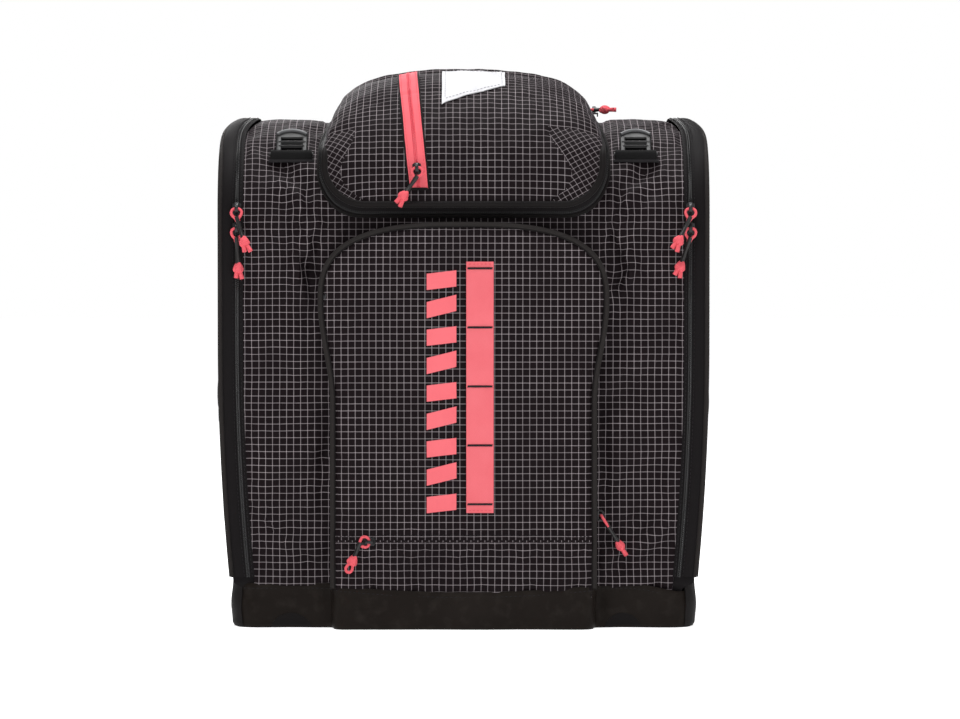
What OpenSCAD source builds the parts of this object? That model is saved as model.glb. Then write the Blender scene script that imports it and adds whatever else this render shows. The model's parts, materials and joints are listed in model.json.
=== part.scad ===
// Ski boot bag: a backpack with a boot compartment on each side and a helmet compartment between.
// Millimetres. +Z is up, the front faces -Y and the back panel faces +Y.
// The origin lies on the ground, under the middle of the body.

/* [Body] */
// Greatest width, across the side doors
bag_w = 450; // [430:1:470]
// Height of the boot compartments
body_h = 463; // [450:1:480]
// Depth of the body, front wall to back wall
body_d = 290; // [280:1:300]
// Height of the waterproof base
tray_h = 41; // [36:1:44]
// Thickness of a fabric and foam wall
wall = 3; // [2.5:0.5:3]
// Clear width between the two dividers, which is the helmet compartment
helmet_w = 224; // [216:1:228]
// Width of the plain strip that carries each door zip
zip_strip_w = 17; // [15:1:19]

/* [Lid] */
// Height of the lid's dome above the boot compartments
lid_rise = 46; // [40:1:50]
// Radius of the dome's front
lid_r = 121; // [119:1:123]
// Greatest half width of the lid
lid_half_w = 127; // [125:1:129]

/* [Front pocket] */
// Half width of the pocket at its straight sides
pocket_half_w = 119.5; // [118:0.5:121]
// Height of the top of the arch above the ground
pocket_top = 370; // [366:1:371]
// How far the pocket stands in front of the body
pocket_d = 23; // [20:1:25]

/* [Webbing] */
// Width of the gear loop webbing
gear_webbing_w = 25; // [20:1:26]
// Width of the shoulder, chest and hip webbing
strap_webbing_w = 20; // [18:1:22]

/* [Doors] */
// Thickness of a padded door
door_t = 5; // [4:0.5:5]

/* [Hidden] */

$fn = 48;
big = 600;
gap = 0.3;
left = -1;
right = 1;

// Side profile: the front wall bends through a tight arc and a wide arc into the flat top.
front_y = -140;
back_y = front_y + body_d;
front_r = 62;
front_bend = 60;
crown_r = 219;
back_r = 25;
crown_z = body_h - crown_r;
front_arc_y = front_y + front_r;
front_arc_z = crown_z + (crown_r - front_r) * sin(front_bend);
crown_y = front_arc_y + (crown_r - front_r) * cos(front_bend);
divider_x = helmet_w / 2;
seam_z = tray_h + gap;
strip_in = door_t + gap;
strip_out = strip_in + zip_strip_w;

// Zips: the coil stands coil_h proud of its tape, and a slider runs run_gap above the coil.
coil_w = 5;
coil_h = 1.2;
run_gap = 0.4;
door_coil = strip_in + 12.5;

// Lid
lid_front_y = -157;
lid_base_z = 388;
lid_arc_y = lid_front_y + lid_r;
lid_top = body_h + lid_rise;
lid_back_y = 120;
lid_back_r = 555;
lid_t = 3;

// Front pocket
pocket_y = front_y - 0.6 - pocket_d;
pocket_straight_z = 209;
pocket_bulge = 11;
pocket_shoulder_z = 300;
piping_half = 2.5;

// ---------- functions ----------

function arc_points(cy, cz, r, a0, a1, n) =
    [for (i = [0:n]) let (a = a0 + (a1 - a0) * i / n) [cy + r * cos(a), cz + r * sin(a)]];

// Side view of the body as points in (Y, Z), moved inward by d.
function body_profile(d) = concat(
    [[front_y + d, -20]],
    arc_points(front_arc_y, front_arc_z, front_r - d, 180, 180 - front_bend, 8),
    arc_points(crown_y, crown_z, crown_r - d, 176 - front_bend, 90, 6),
    arc_points(back_y - back_r, body_h - back_r, back_r - d, 90, 0, 5),
    [[back_y - d, -20]]);

// Half width of the body at height z: narrower towards the ground and rounded off at the top edge.
function half_w(z) = bag_w / 2
    - (z < 260 ? 15 * pow(1 - z / 260, 2) : 0)
    - (z > body_h - 28 ? 13 * pow((z - body_h + 28) / 28, 2) : 0);

heights = concat([-5, 20], [for (z = [46:27:262]) z], [320, 380, 434], [for (z = [441:7:469]) z]);

// Strip of the front view between two distances in from the body's side edge.
function side_strip(side, a, b) = concat(
    [for (z = heights) [side * (half_w(z) - a), z]],
    [for (i = [len(heights) - 1:-1:0]) [side * (half_w(heights[i]) - b), heights[i]]]);

// Half width of the lid at height z, above its rounded lower corners.
function lid_w(z, d) = let (mid = 425, up = lid_top - mid - d)
    45 + (lid_half_w - 45 - d) * sqrt(max(0, 1 - pow((z - mid) / up, 2)));

// Front view of the lid as points in (X, Z), moved inward by d and lowered by drop at its base.
function lid_front(d, drop) = let (r = 37 - d, top = lid_top - d, cz = lid_base_z + 37) concat(
    [for (a = [-90:15:0]) [lid_half_w - 37 + r * cos(a), cz + r * sin(a) - (a < -89 ? drop : 0)]],
    [for (a = [15:15:90]) [lid_w(cz + (top - cz) * sin(a), d), cz + (top - cz) * sin(a)]],
    [for (a = [90:-15:15]) [-lid_w(cz + (top - cz) * sin(a), d), cz + (top - cz) * sin(a)]],
    [for (a = [0:-15:-90]) [-(lid_half_w - 37 + r * cos(a)), cz + r * sin(a) - (a < -89 ? drop : 0)]]);

// Side view of the lid as points in (Y, Z), moved inward by d.
function lid_side(d) = concat(
    [[lid_front_y + d, lid_base_z - (d > 0 ? 20 : 0)]],
    arc_points(lid_arc_y, lid_base_z, lid_r - d, 180, 90, 10),
    arc_points(lid_arc_y, lid_top - lid_back_r, lid_back_r - d, 87,
        90 - asin((lid_back_y - d - lid_arc_y) / lid_back_r), 4),
    [[lid_back_y - d, body_h - (d > 0 ? 20 : 10)], [lid_front_y + 30, lid_base_z - (d > 0 ? 20 : 0)]]);

function ease(t) = let (u = min(1, max(0, t))) u * u * (3 - 2 * u);

// Half width of the pocket's arch at height z, below its shoulder.
function pocket_w(z) = pocket_half_w + pocket_bulge * ease((z - pocket_straight_z) / 90);

// One side of the arch in (X, Z), from the base to the top, moved inward by d.
arch_w = pocket_w(pocket_shoulder_z);
arch_rise = pocket_top - pocket_shoulder_z;
arch_power = 2 / 2.8;
function arch_point(a, d) = [(arch_w - d) * pow(cos(a), arch_power),
                             pocket_shoulder_z + (arch_rise - d) * pow(sin(a), arch_power)];
function arch_side(d, base) = concat(
    [for (z = [base, 120, 209, 232, 255, 278]) [pocket_w(z) - d, z]],
    [for (a = [0:9:81]) arch_point(a, d)]);

function arch(d, base) = let (s = arch_side(d, base)) concat(
    s, [[0, pocket_top - d]], [for (i = [len(s) - 1:-1:0]) [-s[i][0], s[i][1]]]);

// ---------- shape helpers ----------

// A shape drawn in (Y, Z), given a thickness from x0 to x1.
module along_x(x0, x1) {
    translate([x0, 0, 0]) rotate([90, 0, 90]) linear_extrude(x1 - x0) children();
}

// A shape drawn in (X, Z), given a thickness from y0 to y1.
module along_y(y0, y1) {
    translate([0, y1, 0]) rotate([90, 0, 0]) linear_extrude(y1 - y0) children();
}

module block(x0, x1, y0, y1, z0, z1) {
    translate([x0, y0, z0]) cube([x1 - x0, y1 - y0, z1 - z0]);
}

// A box from one side of the middle to the other, mirrored with side.
module side_block(side, x0, x1, y0, y1, z0, z1) {
    block(side > 0 ? x0 : -x1, side > 0 ? x1 : -x0, y0, y1, z0, z1);
}

module round_rect(x0, x1, y0, y1, r) {
    union() {
        translate([x0 + r, y0]) square([x1 - x0 - 2 * r, y1 - y0]);
        translate([x0, y0 + r]) square([x1 - x0, y1 - y0 - 2 * r]);
        for (x = [x0 + r, x1 - r], y = [y0 + r, y1 - r]) translate([x, y]) circle(r);
    }
}

// Shell of the body between two depths, drawn in (Y, Z).
module body_ring(outer, inner) {
    difference() {
        polygon(body_profile(outer));
        polygon(body_profile(inner));
    }
}

// Plan of the base at a distance in from its outside.
module base_plan(d) {
    union() {
        round_rect(-(half_w(0) + 1 - d), half_w(0) + 1 - d, front_y + d, back_y - d, 22 - d);
        round_rect(-(pocket_half_w + 1.5 - d), pocket_half_w + 1.5 - d, pocket_y + d, -100, 14 - d);
    }
}

// ---------- body ----------

module base_tray() color([0.13, 0.12, 0.11]) difference() {
    linear_extrude(tray_h) base_plan(0);
    translate([0, 0, 3]) linear_extrude(tray_h) base_plan(2.5);
    for (x = [left, right], y = [-60, 60])
        translate([x * (half_w(0) - 6), y, 14]) rotate([0, 90, 0]) cylinder(r = 5.2, h = 20, center = true);
}

module base_board() color([0.2, 0.2, 0.2]) translate([0, 0, 3.3]) linear_extrude(3)
    round_rect(-206, 206, front_y + 4, back_y - 4, 18);

module drain_grommets() color([0.1, 0.1, 0.1])
    for (x = [left, right], y = [-60, 60])
        translate([x * (half_w(0) - 0.25), y, 14]) rotate([0, 90, 0]) difference() {
            union() {
                cylinder(r = 5, h = 5, center = true);
                translate([0, 0, x * 2.15 - 0.6]) cylinder(r = 7.5, h = 1.2);
            }
            cylinder(r = 3, h = 20, center = true);
        }

// Front and top wall of one boot compartment, between the door zip and the helmet compartment.
module gusset(side) intersection() {
    along_x(-big, big) body_ring(0, wall);
    along_y(-big, lid_back_y) polygon(concat(
        [for (z = heights) if (z < 470) [side * (half_w(z) - strip_out - gap), z]],
        [[side * (divider_x + wall + 0.5), 469], [side * (divider_x + wall + 0.5), -5]]));
    block(-big, big, -big, big, seam_z, big);
}

module left_gusset() color([0.1, 0.1, 0.11]) gusset(left);
module right_gusset() color([0.1, 0.1, 0.11]) gusset(right);

module centre_front_panel() color([0.1, 0.1, 0.11])
    block(-divider_x - 1.5, divider_x + 1.5, front_y, front_y + wall, 3.5, 384);

module dividers() color([0.16, 0.16, 0.17]) for (side = [left, right]) intersection() {
    along_x(-big, big) polygon(body_profile(wall + 0.4));
    side_block(side, divider_x, divider_x + 2.5, front_y + wall + 0.5, back_y - wall - 4.4, 6.6, big);
}

module back_panel() color([0.1, 0.1, 0.11]) intersection() {
    along_x(-big, big) body_ring(0, wall);
    along_y(lid_back_y + gap, big) polygon(concat(
        [for (z = heights) [-half_w(z) + strip_out + gap, z]],
        [for (i = [len(heights) - 1:-1:0]) [half_w(heights[i]) - strip_out - gap, heights[i]]]));
    block(-big, big, -big, big, seam_z, big);
}

module frame_sheet() color([0.25, 0.25, 0.26])
    along_y(back_y - wall - 3.7, back_y - wall - gap) round_rect(-185, 185, 46, 436, 30);

module back_pads() color([0.09, 0.09, 0.09]) {
    for (side = [left, right])
        along_y(back_y + gap, back_y + 12) round_rect(side * 48 - 30, side * 48 + 30, 122, 420, 16);
    along_y(back_y + gap, back_y + 12) round_rect(-55, 55, 48, 106, 16);
}

// ---------- front pocket ----------

module front_pocket() color([0.1, 0.1, 0.11]) difference() {
    along_y(pocket_y, front_y - 0.6) polygon(arch(2.8, seam_z));
    along_y(pocket_y + wall, front_y) polygon(arch(2.8 + wall, seam_z + wall));
}

module front_pocket_piping() color([0.2, 0.19, 0.18]) along_y(pocket_y - 0.5, pocket_y + 4.5) difference() {
    polygon(arch(-piping_half, seam_z));
    polygon(arch(piping_half, seam_z - 5));
}

gear_x = 15;
module gear_loops() color([0.98, 0.33, 0.40])
    block(gear_x - gear_webbing_w / 2, gear_x + gear_webbing_w / 2, pocket_y - 2, pocket_y - gap, 107, 336);

// ---------- zips ----------

// U-shaped zip of one door: a flat strip up the front, over the top and down the back, with a raised coil.
module door_zipper(side) intersection() {
    union() {
        intersection() {
            along_x(-big, big) body_ring(0, wall);
            along_y(-big, big) polygon(side_strip(side, strip_in, strip_out));
        }
        intersection() {
            along_x(-big, big) body_ring(-coil_h, 0.5);
            along_y(-big, big) polygon(side_strip(side, door_coil - coil_w / 2, door_coil + coil_w / 2));
        }
    }
    block(-big, big, -big, big, seam_z, big);
}

module left_door_zipper() color([0.06, 0.06, 0.06]) door_zipper(left);
module right_door_zipper() color([0.06, 0.06, 0.06]) door_zipper(right);

// Zip and rain lip that follow the lid's front edge and its two sides.
module lid_zipper() color([0.05, 0.05, 0.05]) difference() {
    intersection() {
        union() {
            along_x(-big, big) body_ring(-5, -0.5);
            along_x(-big, big) intersection() {
                body_ring(-14, -4.9);
                translate([-big, 0]) square([big - 100, 405]);
            }
        }
        along_y(-big, lid_back_y) {
            round_rect(-133, 133, 375, 470, 44);
            translate([-133, 420]) square([266, 60]);
        }
    }
    along_y(-big, big) polygon(lid_front(-0.5, 0));
    along_y(-big, big) translate([-lid_half_w - 0.5, 425]) square([2 * lid_half_w + 1, 20]);
    block(-lid_half_w + 5, lid_half_w - 5, -big, big, 444, big);
}

side_tape_x = pocket_half_w - 1.2;
side_zip_y = -149.5;
module front_pocket_zipper() color([0.07, 0.07, 0.07]) {
    block(side_tape_x - 1.3, side_tape_x, side_zip_y - 6.5, side_zip_y + 6.5, 60, 207);
    block(side_tape_x - 0.2, side_tape_x + coil_h,
          side_zip_y - coil_w / 2, side_zip_y + coil_w / 2, 60, 207);
}

lower_tape_y = pocket_y - 1.4;
lower_zip_z = 81;
module lower_pocket_zipper() color([0.07, 0.07, 0.07]) {
    block(-105, 105, lower_tape_y, pocket_y - gap, lower_zip_z - 6, lower_zip_z + 6);
    block(-105, 105, lower_tape_y - coil_h, lower_tape_y + 0.2,
          lower_zip_z - coil_w / 2, lower_zip_z + coil_w / 2);
}

// ---------- zip sliders and pulls ----------

eye_r = 1.9;
eye_y = -7.4;

// Slider on a zip that runs along Z and faces -Y.
// The tape's surface is at y = 0 and the eye's bore runs along X.
module slider() color([0.12, 0.12, 0.12]) difference() {
    union() {
        along_y(-5, -coil_h - run_gap) round_rect(-4, 4, -5.5, 5.5, 2.4);
        translate([0, eye_y, 0]) rotate([0, 90, 0]) cylinder(r = 3.4, h = 3, center = true);
        block(-1.5, 1.5, eye_y, -4.5, -2.6, 2.6);
    }
    translate([0, eye_y, 0]) rotate([0, 90, 0]) cylinder(r = eye_r, h = 9, center = true);
}

// Cord pull that hangs from the middle of an eye: a loop, then a sleeve, a knot and a tail at an angle.
loop_r = 3.8;
cord_r = 1.15;
module pull(lean, sleeve_l) color([0.98, 0.33, 0.40]) union() {
    translate([0, 0, -loop_r]) rotate([90, 0, 0]) rotate_extrude() translate([loop_r, 0]) circle(cord_r);
    translate([0, 0, -2 * loop_r]) rotate([0, lean, 0]) {
        translate([0, 0, -sleeve_l]) cylinder(r = 2, h = sleeve_l);
        translate([0, 0, -sleeve_l - 3]) sphere(r = 4.2);
        translate([0, 0, -sleeve_l - 12]) cylinder(r = 2.4, h = 9);
    }
}

// Places its children on the front of a door zip, at height z.
module on_door_zip(side, z) {
    translate([side * (half_w(z) - door_coil), front_y, z]) children();
}

// A door's two sliders meet at the front. The upper pull hangs in front of the lower slider.
upper_z = 384;
lower_z = 366;
overhang = 20;
module upper_slider(side) on_door_zip(side, upper_z) slider();
module lower_slider(side) on_door_zip(side, lower_z) slider();
module upper_pull(side, lean) on_door_zip(side, upper_z)
    translate([0, eye_y, 0]) rotate([-overhang, 0, 0]) pull(lean, 25);
module lower_pull(side, lean) on_door_zip(side, lower_z)
    translate([0, eye_y, 0]) pull(lean, 28);
module left_upper_slider() upper_slider(left);
module left_lower_slider() lower_slider(left);
module right_upper_slider() upper_slider(right);
module right_lower_slider() lower_slider(right);
module left_upper_pull() upper_pull(left, -17);
module left_lower_pull() lower_pull(left, -3);
module right_upper_pull() upper_pull(right, 27);
module right_lower_pull() lower_pull(right, 19);

// The lid's slider sits on the flat top beside the dome, and its pull points outward.
module on_lid_side() { translate([122.5, 30, body_h + 5]) rotate([-90, 0, 0]) children(); }
module lid_slider() on_lid_side() slider();
module lid_pull() on_lid_side() translate([0, eye_y, 0]) pull(-75, 10);

// The lid pocket's zip leans by zip_lean from upright, in the lid's front face.
zip_lean = 6;
pocket_zip_x = -39;
rest_angle = 15;
lid_track_r = lid_r + 1.6;
module on_lid_zip() {
    translate([pocket_zip_x, lid_arc_y, lid_base_z]) rotate([0, -zip_lean, 0]) rotate([-rest_angle, 0, 0])
        translate([0, -lid_track_r, 0]) children();
}
module lid_pocket_slider() on_lid_zip() slider();
module lid_pocket_pull() on_lid_zip() translate([0, eye_y, 0]) pull(42, 22);

// The front pocket's zip faces +X.
module on_side_zip() { translate([side_tape_x, side_zip_y, 104]) rotate([0, 0, 90]) children(); }
module front_pocket_slider() on_side_zip() slider();
module front_pocket_pull() on_side_zip() translate([0, eye_y, 0]) rotate([-32, 0, 0]) pull(0, 25);

// The lower pocket's zip runs along X, so its eye's bore is upright.
module on_lower_zip() { translate([-86, lower_tape_y, lower_zip_z]) rotate([0, 90, 0]) children(); }
module lower_pocket_slider() on_lower_zip() slider();
module lower_pocket_pull() on_lower_zip() translate([0, eye_y, 0]) pull(-70, 18);

// ---------- lid ----------

module lid_solid(d) intersection() {
    along_x(-big, big) polygon(lid_side(d));
    along_y(-big, big) polygon(lid_front(d, d > 0 ? 20 : 0));
}

module lid_shell() color([0.1, 0.1, 0.11]) difference() {
    lid_solid(0);
    lid_solid(lid_t);
    along_x(-big, big) polygon(body_profile(-4));
}

// Cloth that lies on the lid's front arc, between two heights above its surface.
module on_lid_skin(in, out) {
    translate([0, lid_arc_y, lid_base_z]) rotate([0, 90, 0]) difference() {
        cylinder(r = lid_r + out, h = big, center = true, $fn = 96);
        cylinder(r = lid_r + in, h = big + 2, center = true, $fn = 96);
    }
}

module lid_pocket_zipper() color([0.98, 0.33, 0.40]) union() {
    intersection() {
        on_lid_skin(0.3, 1.6);
        translate([pocket_zip_x, 0, lid_base_z]) rotate([0, -zip_lean, 0])
            block(-8.3, 8.3, -big, lid_arc_y, 14, big);
    }
    intersection() {
        on_lid_skin(1.2, 2.2);
        translate([pocket_zip_x, 0, lid_base_z]) rotate([0, -zip_lean, 0])
            block(-coil_w / 2, coil_w / 2, -big, lid_arc_y, 14, big);
    }
}

module lid_patch() color([0.86, 0.86, 0.87]) intersection() {
    on_lid_skin(0.3, 1.1);
    block(-20, 38, -big, lid_arc_y, lid_base_z + 100, big);
}

// ---------- doors ----------

door_z = 46;
module door(side) intersection() {
    along_x(-big, big) polygon(body_profile(0));
    along_y(-big, big) polygon(side_strip(side, 0, door_t));
    block(-big, big, -big, big, door_z, big);
}

module left_door() color([0.09, 0.09, 0.1]) door(left);
module right_door() color([0.09, 0.09, 0.1]) door(right);

// ---------- ladder buckles on the top ----------

// Each buckle turns on a bar that stands tab_rise above the front bend, at tab_angle round it.
tab_rise = 4.8;
tab_angle = 53.2;
tab_y = front_arc_y - (front_r + tab_rise) * cos(tab_angle);
tab_z = front_arc_z + (front_r + tab_rise) * sin(tab_angle);
buckle_tilt = 43;
buckle_r = 2.2;

module buckle_tabs() color([0.07, 0.07, 0.07])
    for (side = [left, right]) translate([side * 158, tab_y, tab_z]) difference() {
        union() {
            rotate([0, 90, 0]) cylinder(r = 4.2, h = 22, center = true);
            rotate([90 - tab_angle, 0, 0]) block(-10, 10, -3, 3, gap - tab_rise, 0);
        }
        rotate([0, 90, 0]) cylinder(r = buckle_r + 0.4, h = 40, center = true);
    }

module ladder_buckle(side) translate([side * 158, tab_y, tab_z]) {
    rotate([0, 90, 0]) cylinder(r = buckle_r, h = 34, center = true);
    rotate([buckle_tilt - 90, 0, 0]) {
        for (x = [-15, 15]) translate([x, 0, 0]) block(-2.6, 2.6, -2.2, 2.2, -2.2, 16);
        block(-13, 13, -2.2, 2.2, 8, 13);
        difference() {
            along_y(-2.2, 2.2) intersection() {
                translate([0, 10]) circle(21);
                translate([-17.6, 13]) square([35.2, 30]);
            }
            along_y(-5, 5) translate([-11, 16.5]) square([22, 3.4]);
        }
    }
}

module left_ladder_buckle() color([0.05, 0.05, 0.06]) ladder_buckle(left);
module right_ladder_buckle() color([0.05, 0.05, 0.06]) ladder_buckle(right);

// ---------- carrying ----------

handle_z = 461;
handle_h = 24;
handle_r = 93;
handle_t = 3;
module haul_handle() color([0.06, 0.06, 0.06])
    translate([0, 0, handle_z - handle_h]) linear_extrude(handle_h) intersection() {
        translate([0, back_y + 0.5 - 71]) difference() {
            circle(r = handle_r, $fn = 96);
            circle(r = handle_r - handle_t, $fn = 96);
        }
        translate([-60, back_y + 0.5]) square([120, 40]);
    }

strap_bow = 597;
strap_bow_y = 182 - strap_bow;
strap_bow_z = 305;
strap_top_z = 430;
strap_l = 250;

function strap_x(t) = 50 + 38 * ease(t);
function strap_hw(t) = 30 - 8 * ease((t - 0.55) / 0.45);

module shoulder_strap(side) intersection() {
    along_x(-big, big) translate([strap_bow_y, strap_bow_z]) difference() {
        circle(r = strap_bow + 5, $fn = 200);
        circle(r = strap_bow - 5, $fn = 200);
    }
    along_y(100, 250) polygon(concat(
        [for (t = [0:0.1:1.01]) [side * (strap_x(t) - strap_hw(t)), strap_top_z - strap_l * t]],
        [for (t = [1:-0.1:-0.01]) [side * (strap_x(t) + strap_hw(t)), strap_top_z - strap_l * t]]));
}

module left_shoulder_strap() color([0.08, 0.08, 0.08]) shoulder_strap(left);
module right_shoulder_strap() color([0.08, 0.08, 0.08]) shoulder_strap(right);

adjuster_z = strap_top_z - strap_l - 1;
module strap_adjuster(side) translate([side * 88, 0, adjuster_z]) difference() {
    along_y(165.4, 171) round_rect(-15, 15, -26, -gap, 3);
    block(-10.5, 10.5, 160, 180, -12, -7);
    block(-10.5, 10.5, 160, 180, -22, -17);
}

module left_strap_adjuster() color([0.05, 0.05, 0.06]) strap_adjuster(left);
module right_strap_adjuster() color([0.05, 0.05, 0.06]) strap_adjuster(right);

// Webbing from the adjuster down to its sewn anchor above the hip belt.
module lower_webbing(side) {
    along_y(163, 164.5) polygon([
        [side * 78, adjuster_z - 2], [side * 98, adjuster_z - 2], [side * 194, 126],
        [side * 194, 108], [side * 178, 108], [side * 78, adjuster_z - 24]]);
    side_block(side, 180, 194, back_y + gap, 164.5, 109, 125);
}

module left_lower_webbing() color([0.07, 0.07, 0.07]) lower_webbing(left);
module right_lower_webbing() color([0.07, 0.07, 0.07]) lower_webbing(right);

// Side-release buckle, drawn with its webbing along X. The socket is open towards +X.
chest_z = 335;
chest_y = 192.9;
web_half = strap_webbing_w / 2;
web_t = 1.6;
module buckle_socket() difference() {
    along_y(-4, 4) round_rect(-18, 8, -12, 12, 3);
    block(-8, 20, -2.4, 2.4, -8.4, 8.4);
    block(-30, -11, -1.1, 1.1, -10.4, 10.4);
}

module buckle_plug() difference() {
    union() {
        along_y(-4, 4) round_rect(8.4, 22, -12, 12, 3);
        block(-5, 9, -1.9, 1.9, -7.9, -4.4);
        block(-5, 9, -1.9, 1.9, 4.4, 7.9);
        block(-7, 9, -1.9, 1.9, -1.8, 1.8);
    }
    block(11, 40, -1.1, 1.1, -10.4, 10.4);
}

// The webbing runs behind the buckle's two halves, from the strap to the middle.
module chest_webbing(side) {
    behind = chest_y - 4.3;
    side_block(side, 12.5, 84, behind - web_t, behind, chest_z - web_half, chest_z + web_half);
}

module chest_strap_left() color([0.07, 0.07, 0.07]) chest_webbing(left);
module chest_strap_right() color([0.07, 0.07, 0.07]) chest_webbing(right);
module chest_buckle_socket() color([0.04, 0.04, 0.05]) translate([0, chest_y, chest_z]) buckle_socket();
module chest_buckle_plug() color([0.04, 0.04, 0.05]) translate([0, chest_y, chest_z]) buckle_plug();

// ---------- hip belt ----------

hip_x = 58;
hip_tip_x = 212;
hip_mid_z = 76;
module hip_wing(side) along_y(back_y + 2, back_y + 12) polygon([
    [side * hip_x, 48], [side * 150, 50], [side * 200, 58], [side * (hip_tip_x - 3), 64],
    [side * hip_tip_x, 72], [side * hip_tip_x, 82], [side * (hip_tip_x - 4), 90],
    [side * 190, 96], [side * 150, 103], [side * hip_x, 105]]);

module left_hip_wing() color([0.08, 0.08, 0.08]) hip_wing(left);
module right_hip_wing() color([0.08, 0.08, 0.08]) hip_wing(right);

hip_web_y = back_y + 16.5;
module hip_webbing(side) {
    low = hip_mid_z - web_half;
    high = hip_mid_z + web_half;
    side_block(side, 78, 206, hip_web_y - web_t / 2, hip_web_y + web_t / 2, low, high);
    side_block(side, 176, 206, back_y + 12 + gap, hip_web_y, low, high);
}

module left_hip_webbing() color([0.07, 0.07, 0.07]) hip_webbing(left);
module right_hip_webbing() color([0.07, 0.07, 0.07]) hip_webbing(right);
module hip_buckle_socket() color([0.04, 0.04, 0.05]) translate([-78, hip_web_y, hip_mid_z]) difference() {
    along_y(-4, 4) round_rect(-13, 14, -12, 12, 3);
    block(0, 30, -2.4, 2.4, -8.4, 8.4);
    block(-30, 3.5, -1.1, 1.1, -10.4, 10.4);
}
module hip_buckle_plug() color([0.04, 0.04, 0.05]) translate([66, hip_web_y, hip_mid_z]) buckle_plug();

// ---------- what is drawn ----------

base_tray();
base_board();
drain_grommets();
left_gusset();
right_gusset();
centre_front_panel();
dividers();
back_panel();
frame_sheet();
back_pads();
front_pocket();
front_pocket_piping();
gear_loops();
left_door_zipper();
right_door_zipper();
lid_zipper();
front_pocket_zipper();
lower_pocket_zipper();
buckle_tabs();
left_ladder_buckle();
right_ladder_buckle();
haul_handle();
lid_shell();
lid_pocket_zipper();
lid_patch();
left_door();
right_door();
left_upper_slider();
left_lower_slider();
right_upper_slider();
right_lower_slider();
lid_slider();
lid_pocket_slider();
front_pocket_slider();
lower_pocket_slider();
left_upper_pull();
left_lower_pull();
right_upper_pull();
right_lower_pull();
lid_pull();
lid_pocket_pull();
front_pocket_pull();
lower_pocket_pull();
left_shoulder_strap();
right_shoulder_strap();
left_strap_adjuster();
right_strap_adjuster();
left_lower_webbing();
right_lower_webbing();
chest_strap_left();
chest_strap_right();
chest_buckle_socket();
chest_buckle_plug();
left_hip_wing();
right_hip_wing();
left_hip_webbing();
right_hip_webbing();
hip_buckle_socket();
hip_buckle_plug();
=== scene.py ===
"""Looks of the ski boot bag: sewn cloth, zips, webbing, buckles and studio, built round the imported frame.

Lengths are millimetres until piece() makes a mesh, and every place comes from a CAD node's box.
"""

import json
import math

import bmesh
import bpy
import numpy as np
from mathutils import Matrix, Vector


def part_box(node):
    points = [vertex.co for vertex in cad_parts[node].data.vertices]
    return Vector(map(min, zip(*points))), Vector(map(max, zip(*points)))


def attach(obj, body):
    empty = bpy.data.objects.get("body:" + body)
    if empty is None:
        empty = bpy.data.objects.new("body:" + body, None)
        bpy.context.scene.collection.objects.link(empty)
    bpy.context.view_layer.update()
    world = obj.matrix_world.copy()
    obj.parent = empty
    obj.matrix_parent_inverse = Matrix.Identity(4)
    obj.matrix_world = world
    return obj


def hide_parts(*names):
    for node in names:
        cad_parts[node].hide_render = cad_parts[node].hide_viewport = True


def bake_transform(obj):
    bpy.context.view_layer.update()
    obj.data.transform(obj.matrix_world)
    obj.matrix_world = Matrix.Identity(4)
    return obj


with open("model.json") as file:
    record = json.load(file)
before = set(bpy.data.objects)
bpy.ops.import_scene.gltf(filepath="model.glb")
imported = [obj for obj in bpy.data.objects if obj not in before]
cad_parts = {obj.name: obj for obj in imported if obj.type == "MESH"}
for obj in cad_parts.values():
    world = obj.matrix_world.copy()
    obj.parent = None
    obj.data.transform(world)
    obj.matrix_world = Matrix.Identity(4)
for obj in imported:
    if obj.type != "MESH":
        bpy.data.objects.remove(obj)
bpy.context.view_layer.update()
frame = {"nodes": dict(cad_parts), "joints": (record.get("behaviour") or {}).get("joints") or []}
MM = 0.001  # metres in a millimetre
SIDES = {"left": -1, "right": 1}  # sign of X
X_AXIS, Y_AXIS, Z_AXIS = np.eye(3)


def box(node):
    """Lowest and highest corner of a CAD node, in millimetres."""
    lo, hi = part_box(node)
    return np.array(lo) / MM, np.array(hi) / MM


# ---------- driving sizes ----------

DOOR_LO, DOOR_HI = box("left_door")
TRAY_HI = box("base_tray")[1]
POCKET_LO, POCKET_HI = box("front_pocket")
LID_LO, LID_HI = box("lid_shell")
LOOPS_LO, LOOPS_HI = box("gear_loops")
PADS_LO, PADS_HI = box("back_pads")
HALF_W = -DOOR_LO[0]
FRONT_Y, BACK_Y, TOP_Z = DOOR_LO[1], DOOR_HI[1], DOOR_HI[2]
TRAY_TOP = TRAY_HI[2]
POCKET_Y = POCKET_LO[1]
FRONT_R, CROWN_R, BACK_R = 62, 219, 25  # bends of the body's side view
FRONT_ARC_Z = TOP_Z - CROWN_R + (CROWN_R - FRONT_R) * math.sin(math.radians(60))
DOOR_T = 5.0  # thickness of a door
DOOR_SEAM = 18.5  # sewn channel of a door, in from its outline
OPENING_W = 108.0  # half width of the opening under the lid
UNDER_LID_W = 131.0  # half width of the cloth that is held flat by the lid's zip
BULGE_W = 121.0  # half width of the base's bulge under the front pocket
TRAY_CORNER = 22  # round corners of the base, seen from above
STRIP_IN, STRIP_OUT = 5.3, 22.3  # door zip strip, in from the body's side edge
COIL_IN = 17.8  # middle of the door zip's coil
LID_FRONT_R, LID_BACK_R = 121, 555  # bends of the lid's side view
LID_Y = LID_LO[1] + LID_FRONT_R
GRID = 6.35  # pitch of the ripstop's pale grid


# ---------- small maths ----------

def ease(t):
    t = np.clip(t, 0, 1)
    return t * t * (3 - 2 * t)


def unit(v):
    return v / np.maximum(np.linalg.norm(v, axis=-1, keepdims=True), 1e-9)


def mix(a, b, t):
    return a + (b - a) * t


def join(*axes):
    """Points from their coordinates, axis by axis."""
    return np.stack(np.broadcast_arrays(*axes), -1)


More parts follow.
